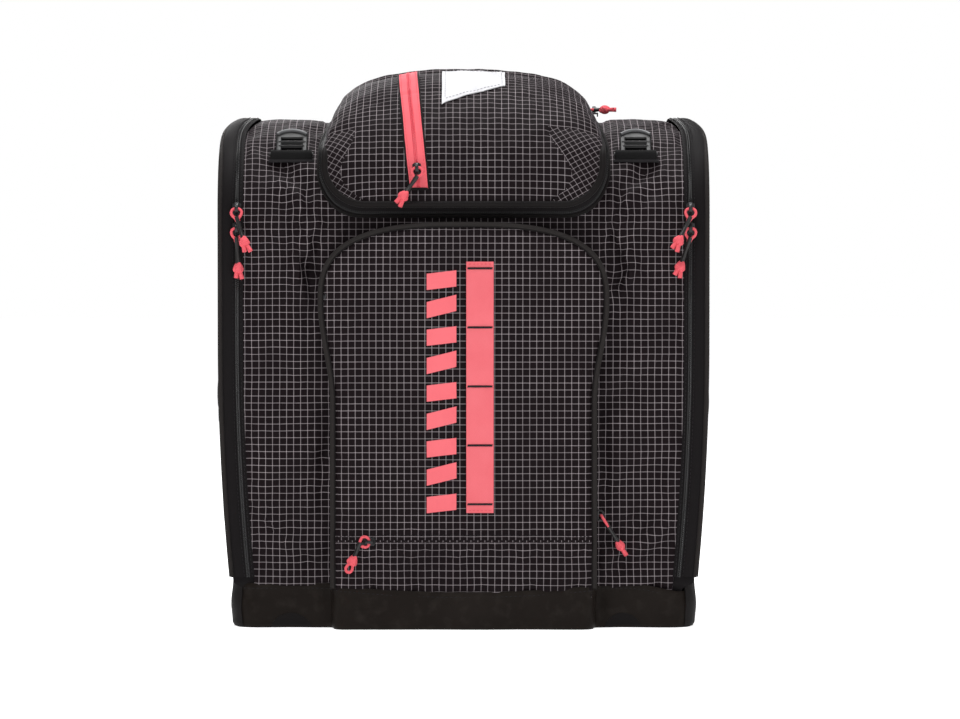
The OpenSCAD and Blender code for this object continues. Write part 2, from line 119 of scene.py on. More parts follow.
def border(grid):
    """Closed loop round the edge of a grid."""
    return np.concatenate([grid[0], grid[1:, -1], grid[-1, -2::-1], grid[-2:0:-1, 0]])


def arc(cy, cz, r, a0, a1, n=32):
    a = np.radians(np.linspace(a0, a1, n))
    return join(cy + r * np.cos(a), cz + r * np.sin(a))


def lengths(path):
    step = np.linalg.norm(np.diff(path, axis=0), axis=1)
    return np.concatenate([[0], np.cumsum(step)])


def resample(path, step=None, count=None):
    """The same path with evenly spaced points."""
    path = np.asarray(path, float)
    s = lengths(path)
    count = count or max(2, int(round(s[-1] / step)) + 1)
    at = np.linspace(0, s[-1], count)
    return np.stack([np.interp(at, s, path[:, i]) for i in range(path.shape[1])], -1)


def smooth_path(points, step=2.0):
    """Smooth curve through a few points."""
    p = np.asarray(points, float)
    p = np.concatenate([[2 * p[0] - p[1]], p, [2 * p[-1] - p[-2]]])
    out = []
    for a, b, c, d in zip(p, p[1:], p[2:], p[3:]):
        t = np.linspace(0, 1, 12, endpoint=False)[:, None]
        out.append(0.5 * (2 * b + (c - a) * t + (2 * a - 5 * b + 4 * c - d) * t**2
                          + (3 * b - a - 3 * c + d) * t**3))
    return resample(np.concatenate(out + [p[-2][None]]), step)


def half_w(z):
    """Half width of the body at height z."""
    z = np.asarray(z, float)
    low = np.where(z < 260, 15 * (1 - z / 260) ** 2, 0)
    high = np.where(z > TOP_Z - 28, 10 * ((z - TOP_Z + 28) / 28) ** 4, 0)
    return HALF_W - low - high


# Side view of the body as (y, z): from inside the tray up the front, over the top and down the back.
SIDE_BASE = TRAY_TOP - 12
SIDE = resample(np.concatenate([
    [[FRONT_Y, SIDE_BASE]],
    arc(FRONT_Y + FRONT_R, FRONT_ARC_Z, FRONT_R, 180, 120),
    arc(FRONT_Y + FRONT_R + (CROWN_R - FRONT_R) / 2, TOP_Z - CROWN_R, CROWN_R, 119, 90),
    arc(BACK_Y - BACK_R, TOP_Z - BACK_R, BACK_R, 90, 0),
    [[BACK_Y, SIDE_BASE]]]), 1.0)
SIDE_S = lengths(SIDE)
SIDE_T = unit(np.gradient(SIDE, axis=0))
TOP_S = SIDE_S[np.argmax(SIDE[:, 0] > 0)]


def s_front(z):
    """Distance along the side view to height z on the front."""
    front = SIDE_S < TOP_S
    return np.interp(z, SIDE[front, 1], SIDE_S[front])


def s_top(y):
    """Distance along the side view to depth y on the top."""
    top = (SIDE[:, 1] > TOP_Z - 60) & (SIDE[:, 0] < BACK_Y - 0.5)
    return np.interp(y, SIDE[top, 0], SIDE_S[top])


def side_at(s):
    """Point (y, z) and outward normal (y, z) at a distance along the side view."""
    y, z = (np.interp(s, SIDE_S, SIDE[:, i]) for i in (0, 1))
    ty, tz = (np.interp(s, SIDE_S, SIDE_T[:, i]) for i in (0, 1))
    return y, z, -tz, ty


def skin(x, s, out=0.0):
    """Point on the body at width x and distance s along the side view, out in front of it."""
    y, z, ny, nz = side_at(s)
    return join(x, y + ny * out, z + nz * out)


def edge_x(side, s, inset):
    """Width at a distance in from the body's side edge."""
    return side * (half_w(side_at(s)[1]) - inset)


# ---------- solids ----------
# A part is (verts, faces, uvs, material index); a piece joins parts into one mesh.

def facing(grid):
    """Normals of a grid whose columns run to the right and rows run up, as seen from outside."""
    return unit(np.cross(np.gradient(grid, axis=1), np.gradient(grid, axis=0)))


def cells(a):
    """The four corner values of each cell of a grid."""
    return np.stack([a[:-1, :-1], a[:-1, 1:], a[1:, 1:], a[1:, :-1]], 2)


def sheet(grid, uv, thick, mat=0, back_mat=None, back=None):
    """Closed cloth: a grid of points, a second grid behind it, and a rim."""
    rows, cols = grid.shape[:2]
    if back is None:
        back = grid - facing(grid) * thick
    count = rows * cols
    idx = np.arange(count).reshape(rows, cols)
    quads = cells(idx).reshape(-1, 4)
    loop = np.concatenate([idx[0, :-1], idx[:-1, -1], idx[-1, :0:-1], idx[:0:-1, 0]])
    nxt = np.roll(loop, -1)
    rim = join(nxt, loop, loop + count, nxt + count)
    faces = np.concatenate([quads, quads[:, ::-1] + count, rim])
    both = np.concatenate([uv.reshape(-1, 2)] * 2) * MM
    mats = np.full(len(faces), mat)
    if back_mat is not None:
        mats[len(quads):2 * len(quads)] = back_mat
    verts = np.concatenate([grid.reshape(-1, 3), back.reshape(-1, 3)])
    return verts, faces.tolist(), both[faces].tolist(), mats


def sweep(path, side, up, outline, closed=False, taper=None, mat=0):
    """Solid made by carrying an outline (across, out) along a path."""
    path, outline = np.asarray(path, float), np.asarray(outline, float)
    n, m = len(path), len(outline)
    side, up = (np.broadcast_to(v, path.shape) for v in (side, up))
    k = np.ones(n) if taper is None else np.asarray(taper, float)
    ring = (side[:, None] * outline[None, :, :1] + up[:, None] * outline[None, :, 1:]) * k[:, None, None]
    verts = (path[:, None] + ring).reshape(-1, 3)
    idx = np.arange(n * m).reshape(n, m)
    along = lengths(path) * MM
    round_ = lengths(np.concatenate([outline, outline[:1]])) * MM
    if closed:
        idx = np.concatenate([idx, idx[:1]])
        along = np.append(along, along[-1] + np.linalg.norm(path[0] - path[-1]) * MM)
    around = np.concatenate([idx, idx[:, :1]], 1)
    uv = np.stack(np.meshgrid(along, round_, indexing="ij"), -1)
    quads = cells(around).reshape(-1, 4).tolist()
    uvs = cells(uv).reshape(-1, 4, 2).tolist()
    if not closed:
        for end in (0, n - 1):
            quads.append(idx[end].tolist())
            uvs.append((outline * MM).tolist())
    return verts, quads, uvs, np.full(len(quads), mat)


def frames(path, hint=None):
    """Side and up vectors along a path; side starts towards the hint."""
    t = unit(np.gradient(path, axis=0))
    s = np.array([0.31, 0.22, 0.93]) if hint is None else np.asarray(hint, float)
    side = []
    for tangent in t:
        s = s - tangent * (s @ tangent)
        s = s / np.linalg.norm(s)
        side.append(s)
    side = np.array(side)
    return side, np.cross(t, side)


def ring(r, sides=10):
    a = np.arange(sides) * 2 * math.pi / sides
    return join(r * np.cos(a), r * np.sin(a))


def tube(path, r, sides=10, closed=False, taper=None, mat=0):
    path = np.asarray(path, float)
    side, up = frames(path)
    return sweep(path, side, up, ring(r, sides), closed, taper, mat)


def band(width, thick):
    """Outline of flat webbing with round selvedges, sunk a little in the middle."""
    a = np.radians([-90, -45, 0, 45, 90])
    end = join(width / 2 - thick / 2 + thick / 2 * np.cos(a), thick / 2 * np.sin(a))
    dent = thick * 0.12
    top = [[width / 4, thick / 2 - dent], [0, thick / 2 - dent], [-width / 4, thick / 2 - dent]]
    return np.concatenate([end, top, -end, -np.array(top)])


def strap(path, side, width, thick, mat=0):
    """Webbing along a path, its width along side."""
    path = np.asarray(path, float)
    t = unit(np.gradient(path, axis=0))
    side = np.broadcast_to(np.asarray(side, float), path.shape)
    side = unit(side - t * (side * t).sum(-1, keepdims=True))
    return sweep(path, side, np.cross(t, side), band(width, thick), mat=mat)


def rounded(width, height, r, n=5):
    """Outline of a rectangle with round corners, about its middle."""
    out = []
    for cx, cy, start in ((1, 1, 0), (-1, 1, 90), (-1, -1, 180), (1, -1, 270)):
        for a in np.radians(np.linspace(start, start + 90, n)):
            out.append([cx * (width / 2 - r) + r * math.cos(a), cy * (height / 2 - r) + r * math.sin(a)])
    return np.array(out)


def slab(outline, thick, edge=0.5, mat=0):
    """Plate in the XZ plane with broken edges, thick along Y about y = 0."""
    outline = np.asarray(outline, float)
    prev, nxt = np.roll(outline, 1, 0), np.roll(outline, -1, 0)
    t = unit(nxt - prev)
    turn = np.sign(np.sum(prev[:, 0] * outline[:, 1] - prev[:, 1] * outline[:, 0])) or 1
    inner = outline + turn * edge * join(-t[:, 1], t[:, 0])
    levels = [(inner, -thick / 2), (outline, -thick / 2 + edge), (outline, thick / 2 - edge),
              (inner, thick / 2)]
    m = len(outline)
    verts = np.concatenate([join(o[:, 0], y, o[:, 1]) for o, y in levels])
    idx = np.arange(4 * m).reshape(4, m)
    around = np.concatenate([idx, idx[:, :1]], 1)
    quads = cells(around)
    faces = quads.reshape(-1, 4).tolist() + [idx[0].tolist(), idx[-1].tolist()]
    uvs = [[[verts[i][0] * MM, verts[i][2] * MM] for i in f] for f in faces]
    return verts, faces, uvs, np.full(len(faces), mat)


def placed(part, at=(0, 0, 0), axes=np.eye(3)):
    """A part moved to a place, with its own axes given as rows."""
    verts, faces, uvs, mats = part
    return verts @ np.asarray(axes, float) + np.asarray(at, float), faces, uvs, mats


def turn(axis, degrees):
    """Rows of a rotation for placed()."""
    a, (x, y, z) = math.radians(degrees), unit(np.asarray(axis, float))
    c, s, k = math.cos(a), math.sin(a), 1 - math.cos(a)
    return np.array([[c + x * x * k, x * y * k - z * s, x * z * k + y * s],
                     [y * x * k + z * s, c + y * y * k, y * z * k - x * s],
                     [z * x * k - y * s, z * y * k + x * s, c + z * z * k]]).T


def stitches(path, out, pitch=3.6, length=2.5, r=0.28, mat=0):
    """Row of thread stitches along a path, raised along out."""
    path = np.asarray(path, float)
    out = np.broadcast_to(np.asarray(out, float), path.shape)
    s = lengths(path)
    at = np.arange(pitch / 2, s[-1], pitch)
    mid, lift = (np.stack([np.interp(at, s, v[:, i]) for i in range(3)], -1) for v in (path, out))
    ahead = np.stack([np.interp(at + 0.5, s, path[:, i]) for i in range(3)], -1)
    t = unit(ahead - mid)
    lift = unit(lift)
    across = np.cross(t, lift)
    shape = [(-0.5, 0, -0.2)]
    for a in (-0.3, 0.3):
        shape += [(a, r * math.cos(b), 0.25 + r * math.sin(b)) for b in np.arange(5) * 2 * math.pi / 5]
    shape.append((0.5, 0, -0.2))
    shape = np.array(shape)
    verts = (mid[:, None] + t[:, None] * shape[None, :, :1] * length
             + across[:, None] * shape[None, :, 1:2] + lift[:, None] * shape[None, :, 2:])
    one = [[0, i + 1, (i + 1) % 5 + 1] for i in range(5)]
    one += [[i + 1, i + 6, (i + 1) % 5 + 6, (i + 1) % 5 + 1] for i in range(5)]
    one += [[11, (i + 1) % 5 + 6, i + 6] for i in range(5)]
    faces = [[v + 12 * k for v in f] for k in range(len(at)) for f in one]
    uvs = [[[0.0, 0.0]] * len(f) for f in faces]
    return verts.reshape(-1, 3), faces, uvs, np.full(len(faces), mat)


def coil(path, out, width=4.4, pitch=1.9, high=1.1, mat=0):
    """Zip coil: two rows of teeth that mesh in the middle, along a path."""
    path = resample(np.concatenate([path, np.broadcast_to(out, path.shape)], 1), pitch / 4)
    path, out = path[:, :3], unit(path[:, 3:])
    t = unit(np.gradient(path, axis=0))
    across = np.cross(t, out)
    phase = lengths(path) / pitch * 2 * math.pi
    parts = []
    for sign in (-1, 1):
        bump = 0.5 + 0.5 * np.cos(phase + (0 if sign > 0 else math.pi))
        lift = 0.25 * high * bump
        centre = path + across * sign * (width * 0.22 - 0.25 * bump)[:, None] + out * lift[:, None]
        outline = ring(1, 8) * [width * 0.27, high * 0.5] + [0, high * 0.35]
        parts.append(sweep(centre, across, out, outline, taper=0.72 + 0.28 * bump, mat=mat))
    return parts


def piece(name, parts, mats, body, replaces=(), sharp=40):
    """One Blender object from parts, riding on a CAD body."""
    mesh = bpy.data.meshes.new(name)
    verts, faces, uvs, which, base = [], [], [], [], 0
    for v, f, uv, m in parts:
        verts.append(v)
        faces += [[i + base for i in face] for face in f]
        uvs += uv
        which.append(m)
        base += len(v)
    mesh.from_pydata((np.concatenate(verts) * MM).tolist(), [], faces)
    layer = mesh.uv_layers.new(name="UVMap")
    layer.data.foreach_set("uv", np.array([c for f in uvs for c in f], np.float32).ravel())
    for m in mats:
        mesh.materials.append(m)
    mesh.polygons.foreach_set("material_index", np.concatenate(which).astype(np.int32))
    mesh.polygons.foreach_set("use_smooth", np.ones(len(faces), bool))
    bm = bmesh.new()
    bm.from_mesh(mesh)
    bmesh.ops.recalc_face_normals(bm, faces=bm.faces)
    bm.to_mesh(mesh)
    bm.free()
    mesh.set_sharp_from_angle(angle=math.radians(sharp))
    obj = bpy.data.objects.new(name, mesh)
    bpy.context.scene.collection.objects.link(obj)
    if body:
        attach(obj, body)
    if replaces:
        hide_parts(*replaces)
    return obj


# ---------- cloth simulation ----------

def edges(shape):
    """True round the edge of a grid of this shape."""
    out = np.ones(shape, bool)
    out[1:-1, 1:-1] = False
    return out


def drape(grid, grow=0.01, push=0.6, steps=14, bend=0.6, held=None, cap=14.0):
    """A sewn-down panel, slightly too big for its frame, pushed from behind until it hangs in soft folds.

    held is True where the cloth is sewn down; by default that is its edge."""
    rows, cols = grid.shape[:2]
    if held is None:
        held = edges((rows, cols))
    n = facing(grid)
    i, j = np.meshgrid(np.arange(rows), np.arange(cols), indexing="ij")
    nudge = 0.5 * np.sin(i * 0.41 + j * 0.23) * np.cos(j * 0.57 - i * 0.13)
    start = grid + n * (np.where(held, 0, nudge))[..., None]
    idx = np.arange(rows * cols).reshape(rows, cols)
    quads = cells(idx).reshape(-1, 4)
    mesh = bpy.data.meshes.new("drape")
    mesh.from_pydata((start.reshape(-1, 3) * MM).tolist(), [], quads.tolist())
    obj = bpy.data.objects.new("drape", mesh)
    bpy.context.scene.collection.objects.link(obj)
    pins = obj.vertex_groups.new(name="pins")
    pins.add(np.nonzero(held.ravel())[0].tolist(), 1.0, "REPLACE")
    cloth = obj.modifiers.new("Cloth", "CLOTH")
    s = cloth.settings
    s.quality, s.mass, s.air_damping = 4, 0.15, 3
    s.tension_stiffness = s.compression_stiffness = 12
    s.shear_stiffness, s.bending_stiffness = 6, bend
    s.shrink_min = -grow
    s.vertex_group_mass = "pins"
    s.use_pressure, s.pressure_factor, s.uniform_pressure_force = True, 0, push
    s.effector_weights.gravity = 0
    cloth.collision_settings.use_collision = False
    cloth.point_cache.frame_end = steps + 1
    for f in range(1, steps + 1):
        bpy.context.scene.frame_set(f)
    graph = bpy.context.evaluated_depsgraph_get()
    done = obj.evaluated_get(graph).to_mesh()
    co = np.zeros(rows * cols * 3, np.float32)
    done.vertices.foreach_get("co", co)
    out = co.reshape(rows, cols, 3).astype(float) / MM
    bpy.data.objects.remove(obj)
    bpy.context.scene.frame_set(1)
    moved = out - grid
    far = np.linalg.norm(moved, axis=-1, keepdims=True)
    return grid + moved * np.minimum(1, cap / np.maximum(far, 1e-6))


def crease(grid, flat, a, b, width, depth):
    """Pushes a fold into a grid along the line a to b, in the panel's flat coordinates."""
    a, b = np.asarray(a, float), np.asarray(b, float)
    d = b - a
    t = np.clip(((flat - a) @ d) / (d @ d), 0, 1)
    off = np.linalg.norm(flat - (a + t[..., None] * d), axis=-1)
    fade = np.sin(math.pi * np.clip(0.08 + 0.84 * t, 0, 1))
    n = facing(grid)
    ridge = depth * fade * (np.exp(-(off / width) ** 2) - 0.45 * np.exp(-((off - 1.9 * width) / width) ** 2))
    return grid + n * ridge[..., None]


# ---------- materials ----------

class Graph:
    """Node graph of one material, written as short calls."""

    def __init__(self, name, colour, rough, metal=0.0, **more):
        self.mat = bpy.data.materials.new(name)
        self.mat.use_nodes = True
        self.tree = self.mat.node_tree
        self.shader = self.tree.nodes["Principled BSDF"]
        self.mat.diffuse_color = (*(colour if isinstance(colour, tuple) else (0.1,) * 3), 1)
        self.set("Base Color", colour)
        self.set("Roughness", rough)
        self.set("Metallic", metal)
        self.set("Specular IOR Level", 0.06)
        for key, value in more.items():
            self.set(key.replace("_", " "), value)

    def feed(self, socket, value):
        if isinstance(value, bpy.types.NodeSocket):
            self.tree.links.new(value, socket)
        elif isinstance(value, tuple) and len(value) == 3 and socket.type == "RGBA":
            socket.default_value = (*value, 1)
        else:
            socket.default_value = value

    def set(self, key, value):
        self.feed(self.shader.inputs[key], value)

    def node(self, kind, inputs, out=0, **props):
        n = self.tree.nodes.new("ShaderNode" + kind)
        for key, value in props.items():
            setattr(n, key, value)
        for key, value in inputs.items():
            self.feed(n.inputs[key], value)
        return n.outputs[out]

    def math(self, op, a, b=0.0, c=0.5):
        return self.node("Math", {0: a, 1: b, 2: c}, operation=op)

    def mul(self, a, b):
        return self.math("MULTIPLY", a, b)

    def add(self, a, b):
        return self.math("ADD", a, b)

    def blend(self, t, a, b):
        return self.node("Mix", {0: t, 6: a, 7: b}, out=2, data_type="RGBA")

    def uv(self):
        """The cloth's own coordinates, in millimetres."""
        split = self.tree.nodes.new("ShaderNodeSeparateXYZ")
        self.tree.links.new(self.node("TexCoord", {}, out=2), split.inputs[0])
        return [self.mul(split.outputs[i], 1 / MM) for i in (0, 1)]

    def noise(self, scale, detail=2.0):
        """Noise in space, scale per millimetre."""
        where = self.node("TexCoord", {}, out=3)
        return self.node("TexNoise", {"Vector": where, "Scale": scale / MM, "Detail": detail})

    def wave(self, c, period, phase=0.0):
        """Sine of a coordinate, from 0 to 1."""
        turns = self.math("MULTIPLY_ADD", c, 2 * math.pi / period, phase)
        return self.math("MULTIPLY_ADD", self.math("SINE", turns), 0.5)

    def line(self, c, pitch, width, soft=0.2):
        """1 on a line of this width once every pitch, 0 between."""
        part = self.math("FRACT", self.math("DIVIDE", c, pitch))
        off = self.mul(self.math("ABSOLUTE", self.math("SUBTRACT", part, 0.5)), pitch)
        return self.node("MapRange", {0: off, 1: width / 2 - soft, 2: width / 2 + soft, 3: 1.0, 4: 0.0},
                         interpolation_type="SMOOTHSTEP")

    def bump(self, height, mm, strength=1.0):
        self.set("Normal", self.node("Bump", {"Strength": strength, "Distance": mm * MM, "Height": height}))


def weave(g, u, v, period):
    """Plain weave: a chequer of crossing threads, from 0 to 1."""
    over = g.mul(g.wave(u, period), g.wave(v, period))
    under = g.mul(g.wave(u, period, math.pi), g.wave(v, period, math.pi))
    return g.add(over, under)


def ripstop():
    g = Graph("ripstop", (0.02, 0.018, 0.02), 0.62)
    u, v = g.uv()
    across, up = g.line(u, GRID, 0.5), g.line(v, GRID, 0.5)
    dash_u = g.add(0.72, g.mul(g.wave(v, 0.9), 0.28))
    dash_v = g.add(0.72, g.mul(g.wave(u, 0.9), 0.28))
    lines = g.add(g.mul(across, dash_u), g.mul(up, dash_v))
    # Painted shade: this noise dims the grid lines in patches in place of shading from wrinkles, and also
    # varies the dark ground's tone at random.
    shade = g.noise(0.035, 3.0)
    patchy_line_shade = g.add(0.22, g.mul(shade, 0.50))
    lines = g.math("MINIMUM", g.mul(lines, patchy_line_shade), 1.0)
    dark = g.blend(shade, (0.0045, 0.0020, 0.0027), (0.0085, 0.0050, 0.0060))
    dark = g.blend(g.mul(weave(g, u, v, 0.7), 0.35), dark, (0.020, 0.015, 0.017))
    g.set("Base Color", g.blend(lines, dark, (0.60, 0.53, 0.555)))
    g.set("Sheen Weight", 0.10)
    g.set("Sheen Roughness", 0.25)
    g.set("Sheen Tint", (0.82, 0.76, 0.84))
    height = g.add(g.mul(weave(g, u, v, 0.7), 0.5), g.mul(lines, 0.9))
    g.bump(height, 0.10, 0.6)
    return g.mat


def plain_cloth(name, low, high, period=0.8, sheen=0.03, rough=0.7):
    """Plain woven cloth that varies between two colours."""
    g = Graph(name, low, rough)
    u, v = g.uv()
    threads = weave(g, u, v, period)
    tone = g.add(g.mul(g.noise(0.03, 3.0), 0.6), g.mul(threads, 0.4))
    g.set("Base Color", g.blend(tone, low, high))
    g.set("Sheen Weight", sheen)
    g.set("Sheen Roughness", 0.4)
    g.bump(threads, 0.12, 0.6)
    return g.mat


def webbing_cloth(name, low, high, rough=0.62, sheen=0.02):
    """Webbing: chevrons across the band, with plain selvedges."""
    g = Graph(name, low, rough)
    u, v = g.uv()
    fold = g.mul(g.math("ABSOLUTE", g.math("SUBTRACT", g.math("FRACT", g.math("DIVIDE", v, 5.0)), 0.5)),
                 5.0)
    rib = g.wave(g.add(u, fold), 1.15)
    tone = g.add(g.mul(rib, 0.55), g.mul(g.noise(0.05, 3.0), 0.45))
    g.set("Base Color", g.blend(tone, low, high))
    g.set("Sheen Weight", sheen)
    g.bump(g.add(rib, g.mul(g.wave(v, 0.8), 0.4)), 0.22, 0.7)
    return g.mat


def tarpaulin():
    g = Graph("tarpaulin", (0.02, 0.017, 0.015), 0.42)
    shade = g.noise(0.02, 4.0)
    scuff = g.node("MapRange", {0: g.noise(0.09, 6.0), 1: 0.52, 2: 0.75, 3: 0.0, 4: 1.0})
    dark = g.blend(shade, (0.0085, 0.0062, 0.0050), (0.0185, 0.0145, 0.0122))
    g.set("Base Color", g.blend(g.mul(scuff, 0.35), dark, (0.036, 0.030, 0.026)))
    g.set("Roughness", g.add(0.36, g.mul(g.noise(0.12, 3.0), 0.2)))
    g.bump(g.add(g.noise(1.6, 2.0), g.mul(g.noise(0.25, 3.0), 0.8)), 0.25, 0.45)
    return g.mat


def zip_tape(name, low, high):
    """Woven zip tape: fine ribs along its length."""
    g = Graph(name, low, 0.6)
    u, v = g.uv()
    ribs = g.add(g.wave(v, 0.9), g.mul(g.wave(g.add(u, v), 1.3), 0.5))
    g.set("Base Color", g.blend(g.mul(ribs, 0.6), low, high))
    g.set("Sheen Weight", 0.03)
    g.bump(ribs, 0.12, 0.5)
    return g.mat


def plastic(name, low, high, rough=0.38, grain=0.9, metal=0.0):
    """Moulded or painted hard part with fine grain and patches that are a little less rough."""
    g = Graph(name, low, rough, metal)
    g.set("Base Color", g.blend(g.noise(0.06, 3.0), low, high))
    g.set("Roughness", g.add(rough - 0.08, g.mul(g.noise(0.2, 4.0), 0.18)))
    g.set("Specular IOR Level", 0.4)
    g.bump(g.noise(grain, 3.0), 0.05, 0.5)
    return g.mat


def cord_cloth(name, low, high, period=1.5):
    """Braided cord: two sets of crossing diagonal strands."""
    g = Graph(name, low, 0.55)
    u, v = g.uv()
    one, two = g.wave(g.add(u, v), period), g.wave(g.math("SUBTRACT", u, v), period)
    braid = g.math("MAXIMUM", one, two)
    g.set("Base Color", g.blend(g.mul(braid, 0.9), low, high))
    g.set("Sheen Weight", 0.02)
    g.bump(braid, 0.18, 0.8)
    return g.mat


def spacer_mesh():
    """Air mesh: rows of round holes in a knitted face."""
    g = Graph("spacer_mesh", (0.02, 0.02, 0.021), 0.75)
    u, v = g.uv()
    holes = g.mul(g.wave(u, 3.2), g.wave(v, 3.2))
    offset = g.mul(g.wave(u, 3.2, math.pi), g.wave(v, 3.2, math.pi))
    dots = g.node("MapRange", {0: g.math("MAXIMUM", holes, offset), 1: 0.42, 2: 0.62, 3: 0.0, 4: 1.0})
    g.set("Base Color", g.blend(dots, (0.030, 0.030, 0.032), (0.003, 0.003, 0.003)))
    g.set("Sheen Weight", 0.06)
    g.bump(g.math("SUBTRACT", 1.0, dots), 0.6, 0.8)
    return g.mat


RIPSTOP = ripstop()
BLACK = plain_cloth("black_cloth", (0.0050, 0.0045, 0.0048), (0.0115, 0.0105, 0.0112))
LINING = plain_cloth("lining", (0.045, 0.045, 0.048), (0.075, 0.075, 0.08), 1.1)
TARP = tarpaulin()
TAPE = zip_tape("zip_tape", (0.0050, 0.0042, 0.0046), (0.0150, 0.0130, 0.0138))
COIL = plastic("zip_coil", (0.0035, 0.0032, 0.0035), (0.0075, 0.0070, 0.0075), 0.3)
PIPING = cord_cloth("piping", (0.010, 0.0085, 0.0082), (0.034, 0.030, 0.029), 1.2)
BINDING = plain_cloth("binding", (0.0060, 0.0050, 0.0050), (0.0165, 0.0145, 0.0145), 1.0, 0.05, 0.55)
CORAL = webbing_cloth("coral_webbing", (0.84, 0.125, 0.150), (0.98, 0.235, 0.265))
CORAL_TAPE = zip_tape("coral_tape", (0.80, 0.105, 0.130), (0.97, 0.200, 0.230))
CORAL_COIL = plastic("coral_coil", (0.62, 0.05, 0.075), (0.80, 0.09, 0.12), 0.34)
CORD = cord_cloth("coral_cord", (0.66, 0.05, 0.075), (0.97, 0.17, 0.20))
WEBBING = webbing_cloth("black_webbing", (0.0050, 0.0050, 0.0050), (0.0170, 0.0165, 0.0170))
SLEEVE = plastic("sleeve", (0.010, 0.009, 0.009), (0.025, 0.024, 0.024), 0.3)
MOULDED = plastic("moulded", (0.0035, 0.0033, 0.0036), (0.0080, 0.0076, 0.0082), 0.42)
# Pale plastic for a painted highlight: the ladder buckles' dome lips are lighter to show light caught on
# their top edge.
LIP_PAINTED_HIGHLIGHT = plastic("lip_painted_highlight", (0.09, 0.09, 0.094), (0.15, 0.15, 0.156), 0.22)
PAINTED = plastic("painted_zinc", (0.018, 0.018, 0.019), (0.040, 0.040, 0.042), 0.32, 0.5, 0.5)
STIFF = plastic("stiffener", (0.05, 0.05, 0.052), (0.075, 0.075, 0.08), 0.5, 0.4)
MESH = spacer_mesh()
THREAD = plain_cloth("thread", (0.012, 0.011, 0.012), (0.035, 0.033, 0.035), 0.5)
PALE = plain_cloth("pale_patch", (0.60, 0.60, 0.62), (0.80, 0.80, 0.82), 0.9, 0.1, 0.4)
PALE_THREAD = plain_cloth("pale_thread", (0.42, 0.42, 0.44), (0.55, 0.55, 0.57), 0.5)
PRINT = plain_cloth("coral_print", (0.86, 0.135, 0.160), (0.98, 0.215, 0.245), 0.7, 0.02, 0.5)


# ---------- body cloth ----------

def at_bottom(s):
    """How far cloth is drawn in where it runs down inside the tray."""
    return -3.4 * (1 - ease((s - 4) / 9))


def side_cloth(name):
    """Front and top of one boot compartment, between the door zip and the middle."""
    side = SIDES[name]
    s = np.linspace(0, s_top(LID_HI[1]), 176)[:, None]
    outer, inner = edge_x(side, s, STRIP_OUT + 0.3), side * OPENING_W
    a, b = (outer, inner) if side < 0 else (inner, outer)
    x = mix(a, b, np.linspace(0, 1, 27)[None])
    grid = skin(x, s, at_bottom(s))
    held = edges(x.shape) | (np.abs(x) < UNDER_LID_W) & (s > s_front(LID_LO[2] - 10))
    flat = join(np.abs(x), s + SIDE_BASE)
    grid = drape(grid, 0.016, 0.5, held=held)
    low, high = TRAY_TOP, LID_LO[2]
    folds = [((126, high + 6), (156, high - 70), 7, 3.2), ((137, high - 16), (141, high - 112), 7, -3.4),
             ((184, high + 66), (146, high + 8), 8, -2.6), ((176, high + 30), (140, high - 6), 6, 2.2),
             ((170, high + 8), (136, high - 34), 6, -2.2), ((196, high - 10), (150, high - 48), 8, 1.8),
             ((128, low + 20), (188, low + 54), 8, 2.4), ((130, low + 62), (125, low + 160), 6, -3.0),
             ((190, low + 96), (160, low + 6), 9, 1.6), ((134, low + 4), (150, low + 34), 6, -2.6),
             ((150, high - 4), (134, high - 56), 4, 2.4), ((160, high - 30), (136, high - 78), 4, -1.8),
             ((146, high + 26), (138, high - 22), 4, -2.4), ((152, high - 60), (132, high - 118), 4, 1.8)]
    for k, (p, q, wide, deep) in enumerate(folds):
        shift = 5 * side * math.sin(2.1 * k)
        grid = crease(grid, flat, (p[0], p[1] + shift), (q[0], q[1] + shift), wide, deep * 1.3)
    uv = join(x, s + SIDE_BASE)
    piece(name + "_side_cloth", [sheet(grid, uv, 1.6, back_mat=1)], [RIPSTOP, LINING], "bag_body",
                 [name + "_gusset"])


def centre_cloth():
    """Wall behind the front pocket, seen above the pocket's arch."""
    z = np.linspace(4, LID_LO[2] - 4, 60)[:, None]
    x = np.linspace(-113, 113, 40)[None]
    tuck = 0.5 + 2.4 * ease((TRAY_TOP + 3 - z) / 8)
    grid = join(x, FRONT_Y + tuck, z)
    uv = join(x, z)
    piece("centre_cloth", [sheet(grid, uv, 1.6, back_mat=1)], [RIPSTOP, LINING], "bag_body",
                 ["centre_front_panel"])


def back_cloth():
    """Rear wall, from the lid's hinge over the back bend and down to the tray."""
    s = np.linspace(s_top(LID_HI[1] + 0.5), SIDE_S[-1], 110)[:, None]
    down = SIDE_S[-1] - s
    half = half_w(side_at(s)[1]) - STRIP_OUT - 0.3
    x = half * np.linspace(-1, 1, 64)[None]
    grid = skin(x, s, at_bottom(down))
    grid = drape(grid, 0.004, 0.4)
    uv = join(x, down)
    parts = [sheet(grid, uv, 2.0, back_mat=1)]
    piece("back_cloth", parts, [BLACK, LINING], "bag_body", ["back_panel"])


def side_view_grid(rows, cols, z0, inset=0.0):
    """Grid of (y, z) that fills the body's side view from height z0 up to its outline."""
    s = np.linspace(s_front(FRONT_ARC_Z), SIDE_S[-1] - (TOP_Z - BACK_R - SIDE_BASE), cols)[None]
    y, z, ny, nz = side_at(s)
    y, z = y - ny * inset, z - nz * inset
    v = np.linspace(0, 1, rows)[:, None]
    return np.broadcast_to(y, (rows, cols)), mix(z0, z, v)


def rim_distance(y, z, z0):
    """Distance from a point of the side view in from its outline."""
    line = SIDE[::4]
    near = np.full(y.shape, 1e9)
    for a in line:
        near = np.minimum(near, np.hypot(y - a[0], z - a[1]))
    return np.minimum(near, z - z0)


